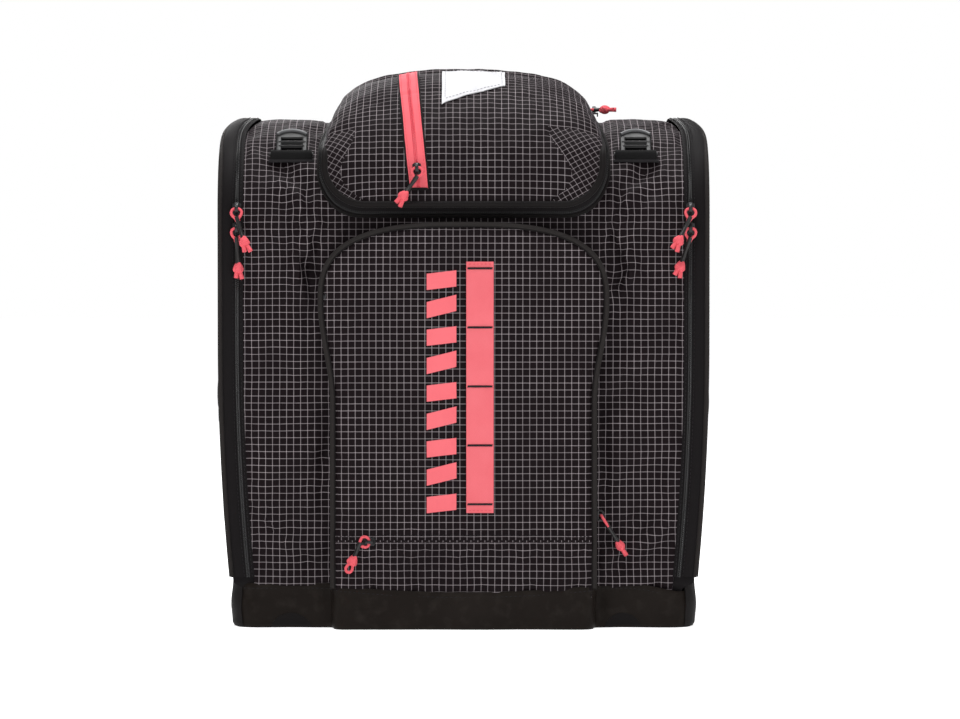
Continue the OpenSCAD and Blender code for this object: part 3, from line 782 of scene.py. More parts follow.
def door(name):
    """Padded side door with a sewn rim, a piped edge and a hem; door_zip() makes its half of the zip."""
    side, z0 = SIDES[name], DOOR_LO[2]
    y, z = side_view_grid(84, 66, z0, 0.8)
    y = y[:, ::-1] if side < 0 else y
    z = z[:, ::-1] if side < 0 else z
    rim = rim_distance(y, z, z0)
    x = side * (half_w(z) - 3.0 * (1 - ease(rim / 8)) - 0.9)
    grid = join(x, y, z)
    held = rim < 3.0
    held |= np.abs(rim - DOOR_SEAM) < 1.5
    grid = drape(grid, 0.007, 0.7, held=held)
    groove = np.exp(-((rim - DOOR_SEAM) / 2.2) ** 2)
    grid[..., 0] -= side * 1.5 * groove
    uv = join(y, z)
    back = join(side * (half_w(z) - DOOR_T + 0.2), y, z)
    front_s = np.linspace(s_front(z0 + 1), SIDE_S[-1] - (z0 + 1 - SIDE_BASE), 420)
    edge = skin(edge_x(side, front_s, 2.3), front_s, 0.3)
    hem = join(side * (half_w(z0) - 2.6), np.linspace(FRONT_Y + 3, BACK_Y - 3, 40), z0 + 1.6)
    seam = skin(edge_x(side, front_s, 0.0), front_s, -DOOR_SEAM)
    parts = [sheet(grid, uv, 4, 0, 1, back), tube(edge, 2.2, 10, mat=2), tube(hem, 1.7, 8, mat=3),
             stitches(seam + [side * 0.2, 0, 0], [side, 0, 0], mat=4)]
    piece(name + "_door_panel", parts, [BLACK, LINING, PIPING, BINDING, THREAD], name + "_door",
          [name + "_door"])


def zip_hump(s):
    """Height of the door zip's strip above the cloth: it stands up over the front bend."""
    return 0.3 + 3.2 * ease((s - s_front(TOP_Z - 45)) / 60) * ease((s_top(70) - s) / 60)


def door_zip(name):
    """The two tapes of a door zip with the coil between; the outer tape belongs to the door."""
    side = SIDES[name]
    z0 = DOOR_LO[2] + 0.5
    s = np.linspace(s_front(z0), SIDE_S[-1] - (z0 - SIDE_BASE), 420)[:, None]

    def tape(inset_a, inset_b, fold):
        k = np.linspace(0, 1, 9)[None]
        k = k if side < 0 else 1 - k
        inset = mix(inset_a, inset_b, k)
        lift = zip_hump(s) + fold * np.sin(math.pi * k) ** 0.8
        grid = skin(edge_x(side, s, inset), s, lift)
        return sheet(grid, join(s, inset), 1.1)
    line = skin(edge_x(side, s[:, 0], COIL_IN), s[:, 0], zip_hump(s[:, 0]) - 0.1)
    out = join(0, *side_at(s[:, 0])[2:])
    row_a = skin(edge_x(side, s[:, 0], COIL_IN - 3.6), s[:, 0], zip_hump(s[:, 0]) + 0.95)
    row_b = skin(edge_x(side, s[:, 0], STRIP_OUT - 0.9), s[:, 0], zip_hump(s[:, 0]) + 0.7)
    outer = [tape(STRIP_IN - 1.6, COIL_IN - 2.2, 1.1), stitches(row_a, out, mat=1)]
    low = np.linspace(0, s_front(z0 + 3), 14)[:, None]
    inset = mix(3.4 + 10 * (1 - ease((low - 6) / 7)), STRIP_OUT + 1.0,
                np.linspace(0, 1, 9)[None] if side < 0 else np.linspace(1, 0, 9)[None])
    collar = [skin(edge_x(side, s_c, inset), s_c, at_bottom(low) - 1.8) for s_c in (low, SIDE_S[-1] - low)]
    inner = [tape(COIL_IN + 1.9, STRIP_OUT + 1.2, 0.5), tape(COIL_IN - 2.9, COIL_IN + 2.9, 0.0)]
    inner += [sheet(c, join(low, inset), 1.2) for c in collar]
    inner += coil(line, out, mat=1) + [stitches(row_b, out, mat=2)]
    piece(name + "_door_tape", outer, [TAPE, THREAD], name + "_door")
    piece(name + "_door_zip", inner, [TAPE, COIL, THREAD], "bag_body", [name + "_door_zipper"])


# ---------- base ----------

def tray_plan():
    """Plan of the tray as (x, y) with outward normals, anticlockwise from the back."""
    w, c = TRAY_HI[0], TRAY_CORNER
    corner = [arc(w - c, BACK_Y - c, c, 90, 0, 12), arc(w - c, FRONT_Y + c, c, 0, -90, 12)]
    corner += [arc(BULGE_W + 3, FRONT_Y - 3, 3, 90, 180, 6)]
    corner += [arc(BULGE_W - 14, POCKET_Y + 14, 14, 0, -90, 12)]
    right = np.concatenate(corner)
    left = right[::-1] * [-1, 1]
    loop = np.concatenate([[[0, BACK_Y]], right, left])
    path = resample(np.concatenate([loop, loop[:1]]), 3.2)[:-1]
    t = unit(np.roll(path, -1, 0) - np.roll(path, 1, 0))
    return path, join(-t[:, 1], t[:, 0])


DENTS = ((-158, 19, 3.3), (146, 17, 3.1), (60, 26, 2.2), (-40, 34, 1.6))  # middle, half width, depth


def tray_puff(x, y, z):
    """How far the tray's wall stands out from its plan."""
    front = ease((FRONT_Y + 20 - y) / 20)
    puff = 1.2 * np.sin(math.pi * z / TRAY_TOP) * np.ones_like(x) - 2.2 * ease((2.5 - z) / 2.5)
    for cx, wide, deep in DENTS:
        puff = puff - front * deep * np.exp(-((x - cx) / wide) ** 2 - (z / 13) ** 2)
    puff = puff + 0.5 * np.sin(x * 0.09 + z * 0.21) * np.sin(y * 0.07 + 1.3)
    pull_in = front * 2.5 * np.exp(-((np.abs(x) - 124) / 7) ** 2)
    return puff - pull_in * np.sin(math.pi * np.clip(z / TRAY_TOP, 0, 1))


def tray():
    """Tarpaulin base: one wall round the plan, hemmed at the top, with soft dents by the floor."""
    path, out = tray_plan()
    levels = np.array([0, 1.2, 3, 6, 9, 12, 15, 18, 21, 24, 27, 30, 33, 36, 38.5, TRAY_TOP - 1, TRAY_TOP])
    x, y = path[:, 0][None], path[:, 1][None]
    z = levels[:, None]
    front = ease((FRONT_Y + 20 - y) / 20)
    beside = 9 * ease((np.abs(x) - 150) / 60) * (x > 0)
    dip = front * np.where(np.abs(x) < BULGE_W, 6.5 * (1 - (x / BULGE_W) ** 2), beside)
    high = z * (1 - dip / TRAY_TOP)
    puff = tray_puff(x, y, z)
    hem = 0.7 * np.exp(-((z - TRAY_TOP + 3.5) / 2.6) ** 4)
    move = (puff + hem)[..., None] * out[None]
    outer = np.concatenate([path[None] + move, high[..., None]], -1)
    inner = np.concatenate([path[None] + move - 2.2 * out[None], high[..., None]], -1)
    shell = np.concatenate([outer, inner[::-1]])
    rows, cols = shell.shape[:2]
    idx = np.arange(rows * cols).reshape(rows, cols)
    idx = np.concatenate([idx, idx[:, :1]], 1)
    idx = np.concatenate([idx, idx[:1]])
    faces = cells(idx).reshape(-1, 4).tolist()
    uvs = [[[0.0, 0.0]] * 4] * len(faces)
    wall = (shell.reshape(-1, 3), faces, uvs, np.zeros(len(faces), int))
    floor = slab(path - 2.6 * out, 2.4, 0.8)
    floor = placed(floor, (0, 0, 1.9), [X_AXIS, Z_AXIS, Y_AXIS])
    top = np.concatenate([path + (move[-2] + 0.35 * out), high[-1][:, None] - 4.6], -1)
    top = np.concatenate([top, top[:1]])
    normal = np.concatenate([out, np.zeros((len(out), 1))], -1)
    thread = stitches(top, np.concatenate([normal, normal[:1]]), 4.2, 2.9, mat=1)
    piece("tray", [wall, floor, thread], [TARP, THREAD], "bag_body", ["base_tray"], sharp=60)

    parts = []
    # Painted shadow: thin black arch-shaped sheets over the two lowest dents stand for the shade inside
    # them.
    for cx, wide, _ in DENTS[:2]:
        u, v = np.linspace(-1, 1, 24)[None], np.linspace(0, 1, 10)[:, None]
        ax = cx + wide * u
        az = 0.6 + 13 * v * (1 - u**2) ** 0.7
        ay = FRONT_Y - tray_puff(ax, FRONT_Y, az) - 0.45
        parts.append(sheet(join(ax, ay, az), join(ax, az), 0.8))
    for side in (-1, 1):
        at = (path[:, 0] * side > TRAY_HI[0] - 9) & (path[:, 1] < FRONT_Y + 46)
        line, away = path[at], out[at]
        order = np.argsort(line[:, 1] * side)
        line, away = line[order], away[order]
        bz = np.linspace(0.8, TRAY_TOP + 1.5, 14)[:, None]
        lift = (tray_puff(line[:, 0][None], line[:, 1][None], bz) + 1.5)[..., None] * away[None]
        grid = np.concatenate([line[None] + lift, np.broadcast_to(bz[..., None], lift[..., :1].shape)], -1)
        parts.append(sheet(grid, join(lengths(line)[None], bz), 1.1))
    piece("tray_bands_and_painted_dent_shadows", parts, [BINDING], "bag_body")


# ---------- front pocket ----------

SHOULDER_Z = 300.0  # where the pocket's sides end and its arch begins
ARCH_INSET = 2.8  # the cloth starts this far inside the piping's middle
ARCH_W = POCKET_HI[0] + ARCH_INSET
ARCH_TOP = POCKET_HI[2] + ARCH_INSET
ARCH_POWER = 2 / 2.8  # how square the arch's shoulders are
FLAP_Z = 81.0  # lower edge of the flap over the lower pocket's zip


def pocket_w(z):
    """Half width of the pocket at height z, below its arch."""
    return ARCH_W - 11 + 11 * ease((np.asarray(z, float) - 209) / 90)


def arch_top(inset, count):
    a = np.radians(np.linspace(180, 0, 200))
    c, d = np.cos(a), np.sin(a)
    x = (ARCH_W - inset) * np.sign(c) * np.abs(c) ** ARCH_POWER
    z = SHOULDER_Z + (ARCH_TOP - SHOULDER_Z - inset) * np.maximum(d, 0) ** ARCH_POWER
    return resample(join(x, z), count=count)


def arch(inset, base, step=2.0):
    """Outline of the pocket as (x, z), from its left foot over the top to its right foot."""
    z = np.linspace(base, SHOULDER_Z, 80)[:-1]
    left = join(inset - pocket_w(z), z)
    return resample(np.concatenate([left, arch_top(inset, 120), (left * [-1, 1])[::-1]]), step)


def pocket_grid(rows, cols, inset, base):
    """Grid of (x, z) that fills the pocket's outline above a height."""
    u = np.linspace(0, 1, cols)[None, :, None]
    v = np.linspace(0, 1, rows)[:, None, None]
    top = arch_top(inset, cols)[None]
    z = np.linspace(base, SHOULDER_Z, rows)
    left = join(inset - pocket_w(z), z)[:, None]
    right = left * [-1, 1]
    foot = mix(left[0], right[0], u)
    corners = mix(mix(left[0], right[0], u), mix(left[-1], right[-1], u), v)
    return (1 - v) * foot + v * top + (1 - u) * left + u * right - corners


def pocket():
    """Front pocket: an arched face over a lower face, side walls, and piping round the arch."""
    xz = pocket_grid(104, 84, ARCH_INSET, FLAP_Z)
    x, z = xz[..., 0], xz[..., 1]
    rim = np.minimum(np.minimum(np.arange(84), np.arange(84)[::-1])[None] * 3.0,
                     np.arange(104)[::-1][:, None] * 2.8)
    y = POCKET_Y + 2.2 * (1 - ease(rim / 7)) - 4.8 * ease((FLAP_Z + 17 - z) / 13)
    grid = drape(join(x, y, z), 0.003, 0.28)
    flat = join(x, z)
    for a, b, wide, deep in (((-112, 262), (-92, 318), 6, 0.9), ((104, 250), (88, 330), 6, 0.9),
                             ((-70, FLAP_Z + 6), (-30, FLAP_Z + 14), 4, 0.7),
                             ((62, FLAP_Z + 8), (112, FLAP_Z + 30), 6, 1.2)):
        grid = crease(grid, flat, a, b, wide, deep)
    face = sheet(grid, flat, 1.4, back_mat=1)
    lip = join(grid[0, :, 0], grid[0, :, 1] + 0.3, grid[0, :, 2] + 0.4)
    hem = grid[2, :, :] + [0, -0.35, 0.4]
    parts = [face, tube(lip, 1.0, 8), stitches(hem, -Y_AXIS, mat=2)]
    piece("pocket_face", parts, [RIPSTOP, LINING, THREAD], "bag_body", ["front_pocket"])

    z = np.linspace(SIDE_BASE, FLAP_Z - 0.5, 26)[:, None]
    u = np.linspace(-1, 1, 90)[None]
    x = u * (pocket_w(z) - ARCH_INSET)
    y = POCKET_Y + 2.4 * (1 - ease((z - SIDE_BASE - 3) / 9)) + 2.0 * np.abs(u) ** 12
    y = y - 3.4 * ease((z - FLAP_Z + 15) / 10)
    low = join(x, y, z)
    low = drape(low, 0.02, 0.25)
    between = np.clip((low[..., 2] - SIDE_BASE - 8) / 40, 0, 1)
    ripple = 0.8 * np.sin(low[..., 0] * 0.21) * np.sin(math.pi * between)
    low[..., 1] += ripple - 0.5
    parts = [sheet(low, join(x, z), 1.2, back_mat=1)]
    piece("pocket_lower_face", parts, [RIPSTOP, LINING], "bag_body")

    line = arch(ARCH_INSET, SIDE_BASE)
    t = unit(np.gradient(line, axis=0))
    out = join(-t[:, 1], t[:, 0])
    k = np.linspace(0, 1, 10)[:, None]
    y = mix(FRONT_Y - 0.2, POCKET_Y + 3.5, k)
    bow = 1.0 * np.sin(math.pi * k) + 0.5 * np.sin(lengths(line) * 0.05)[None] * np.sin(math.pi * k)
    wall = join(line[:, 0][None] + bow * out[:, 0][None], np.broadcast_to(y, bow.shape),
                line[:, 1][None] + bow * out[:, 1][None])
    uv = join(y, lengths(line)[None])
    parts = [sheet(wall[::-1], uv[::-1], 1.4, back_mat=1)]
    piece("pocket_wall", parts, [RIPSTOP, LINING], "bag_body")

    cord = arch(0.2, TRAY_TOP - 3)
    ring_path = join(cord[:, 0], POCKET_Y + 2.2, cord[:, 1])
    flange = arch(1.8, TRAY_TOP - 3)
    flange = join(flange[:, 0], POCKET_Y + 1.1, flange[:, 1])
    foot = arch(-0.2, TRAY_TOP - 3)
    foot = join(foot[:, 0], FRONT_Y - 1.1, foot[:, 1])
    parts = [tube(ring_path, 2.5, 12), tube(flange, 1.1, 8, mat=1), tube(foot, 1.2, 8, mat=1)]
    piece("pocket_piping", parts, [PIPING, BINDING], "bag_body", ["front_pocket_piping"])
    return grid


def front_of(grid, x, z, reach=5.0):
    """Depth of the pocket's face at points (x, z)."""
    points = grid[::2, ::2].reshape(-1, 3)
    x, z = np.broadcast_arrays(np.asarray(x, float), np.asarray(z, float))
    d = (x[..., None] - points[:, 0]) ** 2 + (z[..., None] - points[:, 2]) ** 2
    w = np.exp(-(d - d.min(-1, keepdims=True)) / (2 * (reach / 2) ** 2))
    return (w * points[:, 1]).sum(-1) / w.sum(-1)


def gear_loops(face):
    """Webbing daisy chain: four raised loops between bar tacks."""
    mid = (LOOPS_LO[0] + LOOPS_HI[0]) / 2
    width = LOOPS_HI[0] - LOOPS_LO[0]
    count = 4
    low, high = LOOPS_LO[2] + 8, LOOPS_HI[2] - 6
    z = np.linspace(LOOPS_LO[2], LOOPS_HI[2], 150)
    part = np.clip((z - low) / (high - low), 0, 1) * count
    lift = 2.6 * np.abs(np.sin(math.pi * part)) ** 0.75
    path = join(mid, front_of(face, mid, z) - 1.0 - lift, z)
    parts = [strap(path, X_AXIS, width, 1.5)]
    for i in range(count + 1):
        at = low + (high - low) * i / count
        y = np.interp(at, z, path[:, 1]) - 0.9
        x = np.linspace(mid - width / 2 + 1.2, mid + width / 2 - 1.2, 60)
        zigzag = at + 0.9 * np.where(np.arange(60) % 2, 1, -1)
        tack = join(x, y, zigzag)
        parts.append(tube(tack, 0.42, 6, mat=1))
        parts.append(tube(tack[[0, -1]] * [1, 1, 0] + [0, 0.25, at], 0.9, 6, mat=1))
    for end in (LOOPS_LO[2] + 2.2, LOOPS_HI[2] - 2.2):
        row = join(np.linspace(mid - 11, mid + 11, 20), np.interp(end, z, path[:, 1]) - 0.85, end)
        parts.append(stitches(row, -Y_AXIS, mat=2))
    piece("gear_loop_webbing", parts, [CORAL, THREAD, CORD], "bag_body", ["gear_loops"])


def printed_bars(face):
    """Plain slanted bars printed beside the gear loops."""
    left, right = LOOPS_LO[0] - 36, LOOPS_LO[0] - 9
    count, slant = 9, 9.0
    pitch = (LOOPS_HI[2] - LOOPS_LO[2]) / count
    parts = []
    for i in range(count):
        z0 = LOOPS_LO[2] + i * pitch
        u = np.linspace(0, 1, 12)[None]
        v = np.linspace(0, 1, 9)[:, None]
        x = mix(left, right, u) + 0 * v
        z = z0 + v * (pitch - 7.5 - slant * 0.35) + slant * (u - 0.1) * (0.75 if i % 2 else 0.35)
        grid = join(x, front_of(face, x, z, 3.0) - 0.75, z)
        parts.append(sheet(grid, join(x, z), 0.7))
    piece("printed_bars", parts, [PRINT], "bag_body")


def flat_zip(name, node, along, out, sunk=0.0):
    """Straight zip on the pocket: tape, coil and edge stitches, in its CAD node's box."""
    lo, hi = box(node)
    mid = (lo + hi) / 2
    half = abs((hi - lo) @ along) / 2
    across = np.cross(along, out)
    wide = abs((hi - lo) @ across)
    face = mid + out * (abs((hi - lo) @ out) / 2 - 1.2 - sunk)
    path = face + np.linspace(-half, half, 90)[:, None] * along
    ends = [tube(face + along * half * e + across[None] * np.array([[-3], [3]]) + out * 0.3, 1.1, 6, mat=2)
            for e in (-1, 1)]
    parts = [strap(path, across, wide, 1.1)] + coil(path, out, mat=1) + ends
    if not sunk:
        parts += [stitches(path + across * e * (wide / 2 - 1.5) + out * 0.55, out, mat=2) for e in (-1, 1)]
    piece(name, parts, [TAPE, COIL, THREAD], "bag_body", [node])


# ---------- lid ----------

LID_TOP = LID_HI[2] + 3.0
RIM_R = 37.0  # lower corners of the lid, seen from the front
RIM_RISE = 4.0  # the lid's rim stands this far off the body


def lid_rim(count=200):
    """Right half of the lid's rim: round the front corner, then back along the body's side view."""
    w = LID_HI[0]
    a = np.radians(np.linspace(-90, 0, 40))
    x, z = w - RIM_R + RIM_R * np.cos(a), LID_LO[2] + RIM_R + RIM_R * np.sin(a)
    y = LID_Y - np.sqrt(LID_FRONT_R**2 - (z - LID_LO[2]) ** 2)
    corner = join(x, y, z)
    s = np.linspace(s_front(LID_LO[2] + RIM_R) + 6, s_top(LID_HI[1]), 120)
    z = side_at(s)[1]
    wide = np.minimum(w, 47 + 82 * np.sqrt(np.clip(1 - ((z - 421) / 84) ** 2, 0, 1)))
    wide = np.where(z < 421, w, wide)
    side = skin(wide, s, RIM_RISE)
    blend = ease((s - s[0]) / 34)[:, None]
    lead = join(wide, LID_Y - np.sqrt(np.maximum(LID_FRONT_R**2 - (side[:, 2] - LID_LO[2]) ** 2, 0)),
                side[:, 2])
    side = np.where(blend < 1, mix(np.minimum(lead, side), side, blend), side)
    return resample(np.concatenate([corner, side]), count=count)


def lid_crown(count=200):
    """Middle line of the lid, from its front edge over the top to the hinge."""
    front = arc(LID_Y, LID_LO[2], LID_FRONT_R, 180, 90, 60)
    back_angle = 90 - math.degrees(math.asin((LID_HI[1] - LID_Y) / LID_BACK_R))
    back = arc(LID_Y, LID_TOP - LID_BACK_R, LID_BACK_R, 89.5, back_angle, 40)
    line = np.concatenate([front, back])
    return resample(join(0 * line[:, 0], line[:, 0], line[:, 1]), count=count)


RIM, CROWN = lid_rim(400), lid_crown(400)
CORNER = math.pi / 2 * RIM_R / lengths(RIM)[-1]
CROWN_CORNER = 42.0 / lengths(CROWN)[-1]


def lid_at(v, across):
    """Point on the lid: v runs from the front edge to the hinge, across from -1 to 1 between the rims."""
    v, across = np.broadcast_arrays(np.asarray(v, float), np.asarray(across, float))
    rim_v = np.interp(v, [0, CROWN_CORNER, 1], [0, CORNER, 1])
    at = np.linspace(0, 1, len(RIM))
    rim = np.stack([np.interp(rim_v, at, RIM[:, i]) for i in range(3)], -1)
    crown = np.stack([np.interp(v, at, CROWN[:, i]) for i in range(3)], -1)
    power = mix(3.6, 2.45, ease((v - 0.12) / 0.33))
    rise = (1 - np.minimum(np.abs(across), 1) ** power) ** (1 / power)
    middle = rim * [0, 1, 1]
    return middle + (crown - middle) * rise[..., None] + X_AXIS * (rim[..., :1] * across[..., None])


def on_cloth(cloth, v, x):
    """Point at width x on the lid's draped cloth."""
    v, x = np.broadcast_arrays(np.asarray(v, float), np.asarray(x, float))
    out = np.empty(x.shape + (3,))
    out[..., 0] = x
    for i, row in enumerate(v[:, 0] * (len(cloth) - 1)):
        low = min(int(row), len(cloth) - 2)
        below, above = cloth[low], cloth[low + 1]
        for k in (1, 2):
            out[i, :, k] = mix(np.interp(x[i], below[:, 0], below[:, k]),
                               np.interp(x[i], above[:, 0], above[:, k]), row - low)
    return out


def crown_v(z):
    """v where the lid's front reaches height z in the middle."""
    a = np.arcsin(np.clip((z - LID_LO[2]) / LID_FRONT_R, 0, 1))
    return a * LID_FRONT_R / lengths(CROWN)[-1]


def lid():
    """Domed lid: one panel from the front over the top, with a bias-cut gusset in each front corner."""
    v = np.linspace(0, 1, 132)[:, None]
    low, high = crown_v(LID_LO[2] + 13), crown_v(LID_LO[2] + 71)
    climb = ease((v - low) / (high - low))
    seam_left, seam_right = mix(0.93, 0.78, climb), mix(0.84, 0.61,
                                                        climb)  # shares of the width where a gusset starts
    n_mid, n_side = 66, 17
    u = np.linspace(-1, 1, n_mid)[None]
    u = u * np.where(u < 0, seam_left, seam_right)
    wing = np.sin(np.linspace(0, 1, n_side)[None][:, 1:] * math.pi / 2)
    across = np.concatenate([-mix(seam_left, 1.0, wing)[:, ::-1], u, mix(seam_right, 1.0, wing)], 1)
    flat_grid = lid_at(v, across)
    grid = drape(flat_grid, 0.004, 0.55, cap=5)
    cols = across.shape[1]
    left, right = n_side - 1, n_side - 2 + n_mid
    j = np.arange(cols)[None]
    seam_gap = np.minimum(np.abs(j - left), np.abs(j - right)) * (v < high)
    groove = np.exp(-(seam_gap / 1.1) ** 2) * (v < high)
    top_row = np.exp(-((v - high) * 131 / 1.1) ** 2) * ((j < left) | (j > right))
    seam_line = crown_v(LID_LO[2] + 103 - 16 * across**2)
    fold = np.exp(-((v - seam_line) * 131) ** 2) * (np.abs(across) < 0.72)
    grid = grid - facing(grid) * (1.2 * np.maximum(np.maximum(groove, top_row), 0.8 * fold))[..., None]

    step = np.linalg.norm(np.diff(flat_grid, axis=1), axis=-1)
    run = np.concatenate([np.zeros((len(v), 1)), np.cumsum(step, 1)], 1)
    run -= run[:, cols // 2][:, None] * 0.5 + run[:, (cols - 1) // 2][:, None] * 0.5
    crown = lengths(CROWN)[-1] * v + LID_LO[2]
    uv = join(mix(run, flat_grid[..., 0], 1 - ease((v - 0.1) / 0.2)), crown)
    part = sheet(grid, uv, 2.2, back_mat=1)
    verts, faces, uvs = part[:3]
    rows = len(v)
    bias = math.radians(30)
    for f, face in enumerate(faces[:(rows - 1) * (cols - 1)]):
        i, k = divmod(f, cols - 1)
        if v[i, 0] < high and (k < left or k >= right):
            sign = -1 if k < left else 1
            corner = []
            for n in face:
                p = verts[n]
                a, b = p[0] * sign, p[2] + 0.4 * p[1]
                corner.append([(a * math.cos(bias) + b * math.sin(bias)) * 1.25 * MM,
                               (b * math.cos(bias) - a * math.sin(bias)) * 1.25 * MM])
            uvs[f] = corner
    piece("lid_cloth", [part], [RIPSTOP, LINING], "lid", ["lid_shell"])

    rim = np.concatenate([(RIM * [-1, 1, 1])[::-1], RIM])
    rim = resample(rim, 2.5)
    around = frames(rim, Z_AXIS)
    bulk = ring(1, 14) * [3.5, 3.0]
    binding = sweep(rim, *around, bulk)
    front = (np.abs(rim[:, 0]) < LID_HI[0] - 12) & (rim[:, 1] < FRONT_Y)
    thread = stitches(rim[front] + [0, -3.0, 2.0], -Y_AXIS, mat=1)
    hem = join(np.linspace(-1, 1, 60) * RIM[-1, 0], LID_HI[1] - 1.2, TOP_Z + RIM_RISE)
    back_u = np.linspace(-1, 1, 60)[None]
    top_edge = lid_at(np.ones((1, 1)), back_u)[0]
    k = np.linspace(0, 1, 9)[:, None, None]
    base = top_edge * [1, 1, 0] + [0, 0, TOP_Z + RIM_RISE - 3]
    wall = mix(base[None], np.maximum(top_edge, base)[None], k)
    wall = wall[:, ::-1]
    wall[..., 1] += 0.2
    uv = wall[..., [0, 2]]
    parts = [binding, thread, tube(hem, 2.0, 8), sheet(wall, uv, 1.8)]
    piece("lid_binding", parts, [BINDING, THREAD], "lid")
    return grid


def lid_zip():
    """Body's half of the lid's zip: a cloth band with the coil and a rain lip under the lid's rim."""
    rim = np.concatenate([(RIM * [-1, 1, 1])[::-1], RIM])
    rim = resample(rim, 3.0)
    x, y, z = rim.T
    on_front = ease((LID_LO[2] + RIM_R + 14 - z) / 34)
    outer_x = np.sign(x) * (np.abs(x) + 4.6 * ease((np.abs(x) - 60) / 60))
    s = np.where(y < LID_Y, s_front(np.maximum(z - RIM_RISE * (1 - on_front), LID_LO[2] - 12)), s_top(y))
    low_s = s_front(LID_LO[2] - 12)
    foot_s = mix(s, np.maximum(low_s, s - 11), on_front)
    foot = skin(outer_x, foot_s, -0.4)
    head = rim + join(0 * x, on_front * 3.5, -1.8 - on_front * 1.2)
    k = np.linspace(0, 1, 12)[:, None, None]
    grid = mix(foot[None], head[None], k)
    away = unit(join(x * (1 - on_front), -40 * on_front - 5, -10 * on_front + 30 * (1 - on_front)))
    grid = grid + away[None] * 2.2 * np.sin(math.pi * k)
    uv = join(lengths(rim)[None], 14 * k[..., 0])
    line = mix(foot, head, 0.55) + away * 1.9
    lip = mix(foot, head, 0.12) + away * 1.6
    parts = [sheet(grid, uv, 1.2), tube(lip, 1.7, 10, mat=2)] + coil(line, away, 4.0, mat=1)
    parts.append(tube(foot + away * 0.4, 1.5, 8, mat=2))
    piece("lid_zip_band", parts, [TAPE, COIL, BINDING], "bag_body", ["lid_zipper"])


ZIP_X = -39.0  # foot of the lid pocket's zip
ZIP_LEAN = math.tan(math.radians(6))


def lid_pocket_zip(cloth):
    """Coral zip that leans across the lid's front, with black welts beside its tape."""
    v = np.linspace(crown_v(LID_LO[2] + 14), LID_FRONT_R * math.pi / 2 / lengths(CROWN)[-1], 110)[:, None]
    z_up = LID_FRONT_R * np.sin(v * lengths(CROWN)[-1] / LID_FRONT_R)
    mid = ZIP_X - ZIP_LEAN * z_up

    def strip(a, b, lift, count, mat, thick=0.9):
        x = mid + np.linspace(a, b, count)[None]
        grid = on_cloth(cloth, v, x)
        grid = grid + facing(grid) * lift
        uv = join(lengths(grid[:, 0])[:, None], x - mid)
        return sheet(grid, uv, thick, mat)
    line = on_cloth(cloth, v, mid)
    wide = on_cloth(cloth, v, mid + np.linspace(-1, 1, 5)[None])
    out = facing(wide)[:, 2]
    path = line[:, 0] + out * 1.5
    parts = [strip(-8.3, -1.1, 1.7, 7, 0), strip(1.1, 8.3, 1.7, 7, 0), strip(-9.6, 9.6, 0.9, 9, 1, 1.4)]
    parts += coil(path - out * 0.2, out, 4.2, 1.7, 1.0, mat=2)
    for e in (-1, 1):
        parts.append(stitches(on_cloth(cloth, v, mid + e * 6.9)[:, 0] + out * 1.75, out, mat=3))
        parts.append(tube(on_cloth(cloth, v, mid + e * 9.2)[:, 0] + out * 1.1, 0.9, 8, mat=1))
    foot = join(np.linspace(-8, 8, 12) + mid[0, 0], path[0, 1] - 0.3, path[0, 2])
    parts.append(tube(foot, 1.3, 8, mat=1))
    mats = [CORAL_TAPE, BINDING, CORAL_COIL, CORD]
    piece("lid_pocket_zip", parts, mats, "lid", ["lid_pocket_zipper"])


def lid_patch(cloth):
    """Plain pale patch sewn over the lid's front crown."""
    lo, hi = box("lid_patch")
    t = np.linspace(0, 1, 40)[None]
    x = mix(lo[0], hi[0], t)
    foot = crown_v(lo[2] - 10 + 18 * t**0.8)  # its lower edge rises to the right
    top = LID_FRONT_R * math.pi / 2 / lengths(CROWN)[-1]
    rows = np.linspace(foot.min(), top, 90)[:, None]
    whole = on_cloth(cloth, rows, x)
    v = mix(foot, top, t.T)
    grid = np.stack([[np.interp(v[:, j], rows[:, 0], whole[:, j, k]) for j in range(40)] for k in range(3)],
                    -1)
    grid = grid.transpose(1, 0, 2)
    grid = grid + facing(grid) * 1.5
    uv = join(x, v * lengths(CROWN)[-1])
    inner = grid[2:-2, 2:-2]
    edge, lift = border(inner), border(facing(grid)[2:-2, 2:-2])
    parts = [sheet(grid, uv, 0.9), stitches(edge + lift * 0.1, lift, mat=1)]
    piece("lid_pale_patch", parts, [PALE, PALE_THREAD], "lid", ["lid_patch"])


# ---------- inside and back ----------

def divider(side):
    """Padded wall between a boot and the helmet, with quilting lines."""
    lo, hi = box("dividers")
    y, z = side_view_grid(60, 46, lo[2] + 0.5, 4.2)
    y, z = np.clip(y, lo[1] + 0.6, hi[1] - 0.6), np.minimum(z, hi[2])
    if side < 0:
        y, z = y[:, ::-1], z[:, ::-1]
    quilt = np.abs(np.sin(y * math.pi / 46)) ** 0.35
    x = side * (hi[0] - 1.6 + 0.9 * quilt)
    back = join(side * (hi[0] - 2.4), y, z)
    grid = join(x, y, z)
    name = ("left" if side < 0 else "right") + "_divider"
    piece(name, [sheet(grid, join(y, z), 2, back=back)], [LINING], "bag_body", ["dividers"])


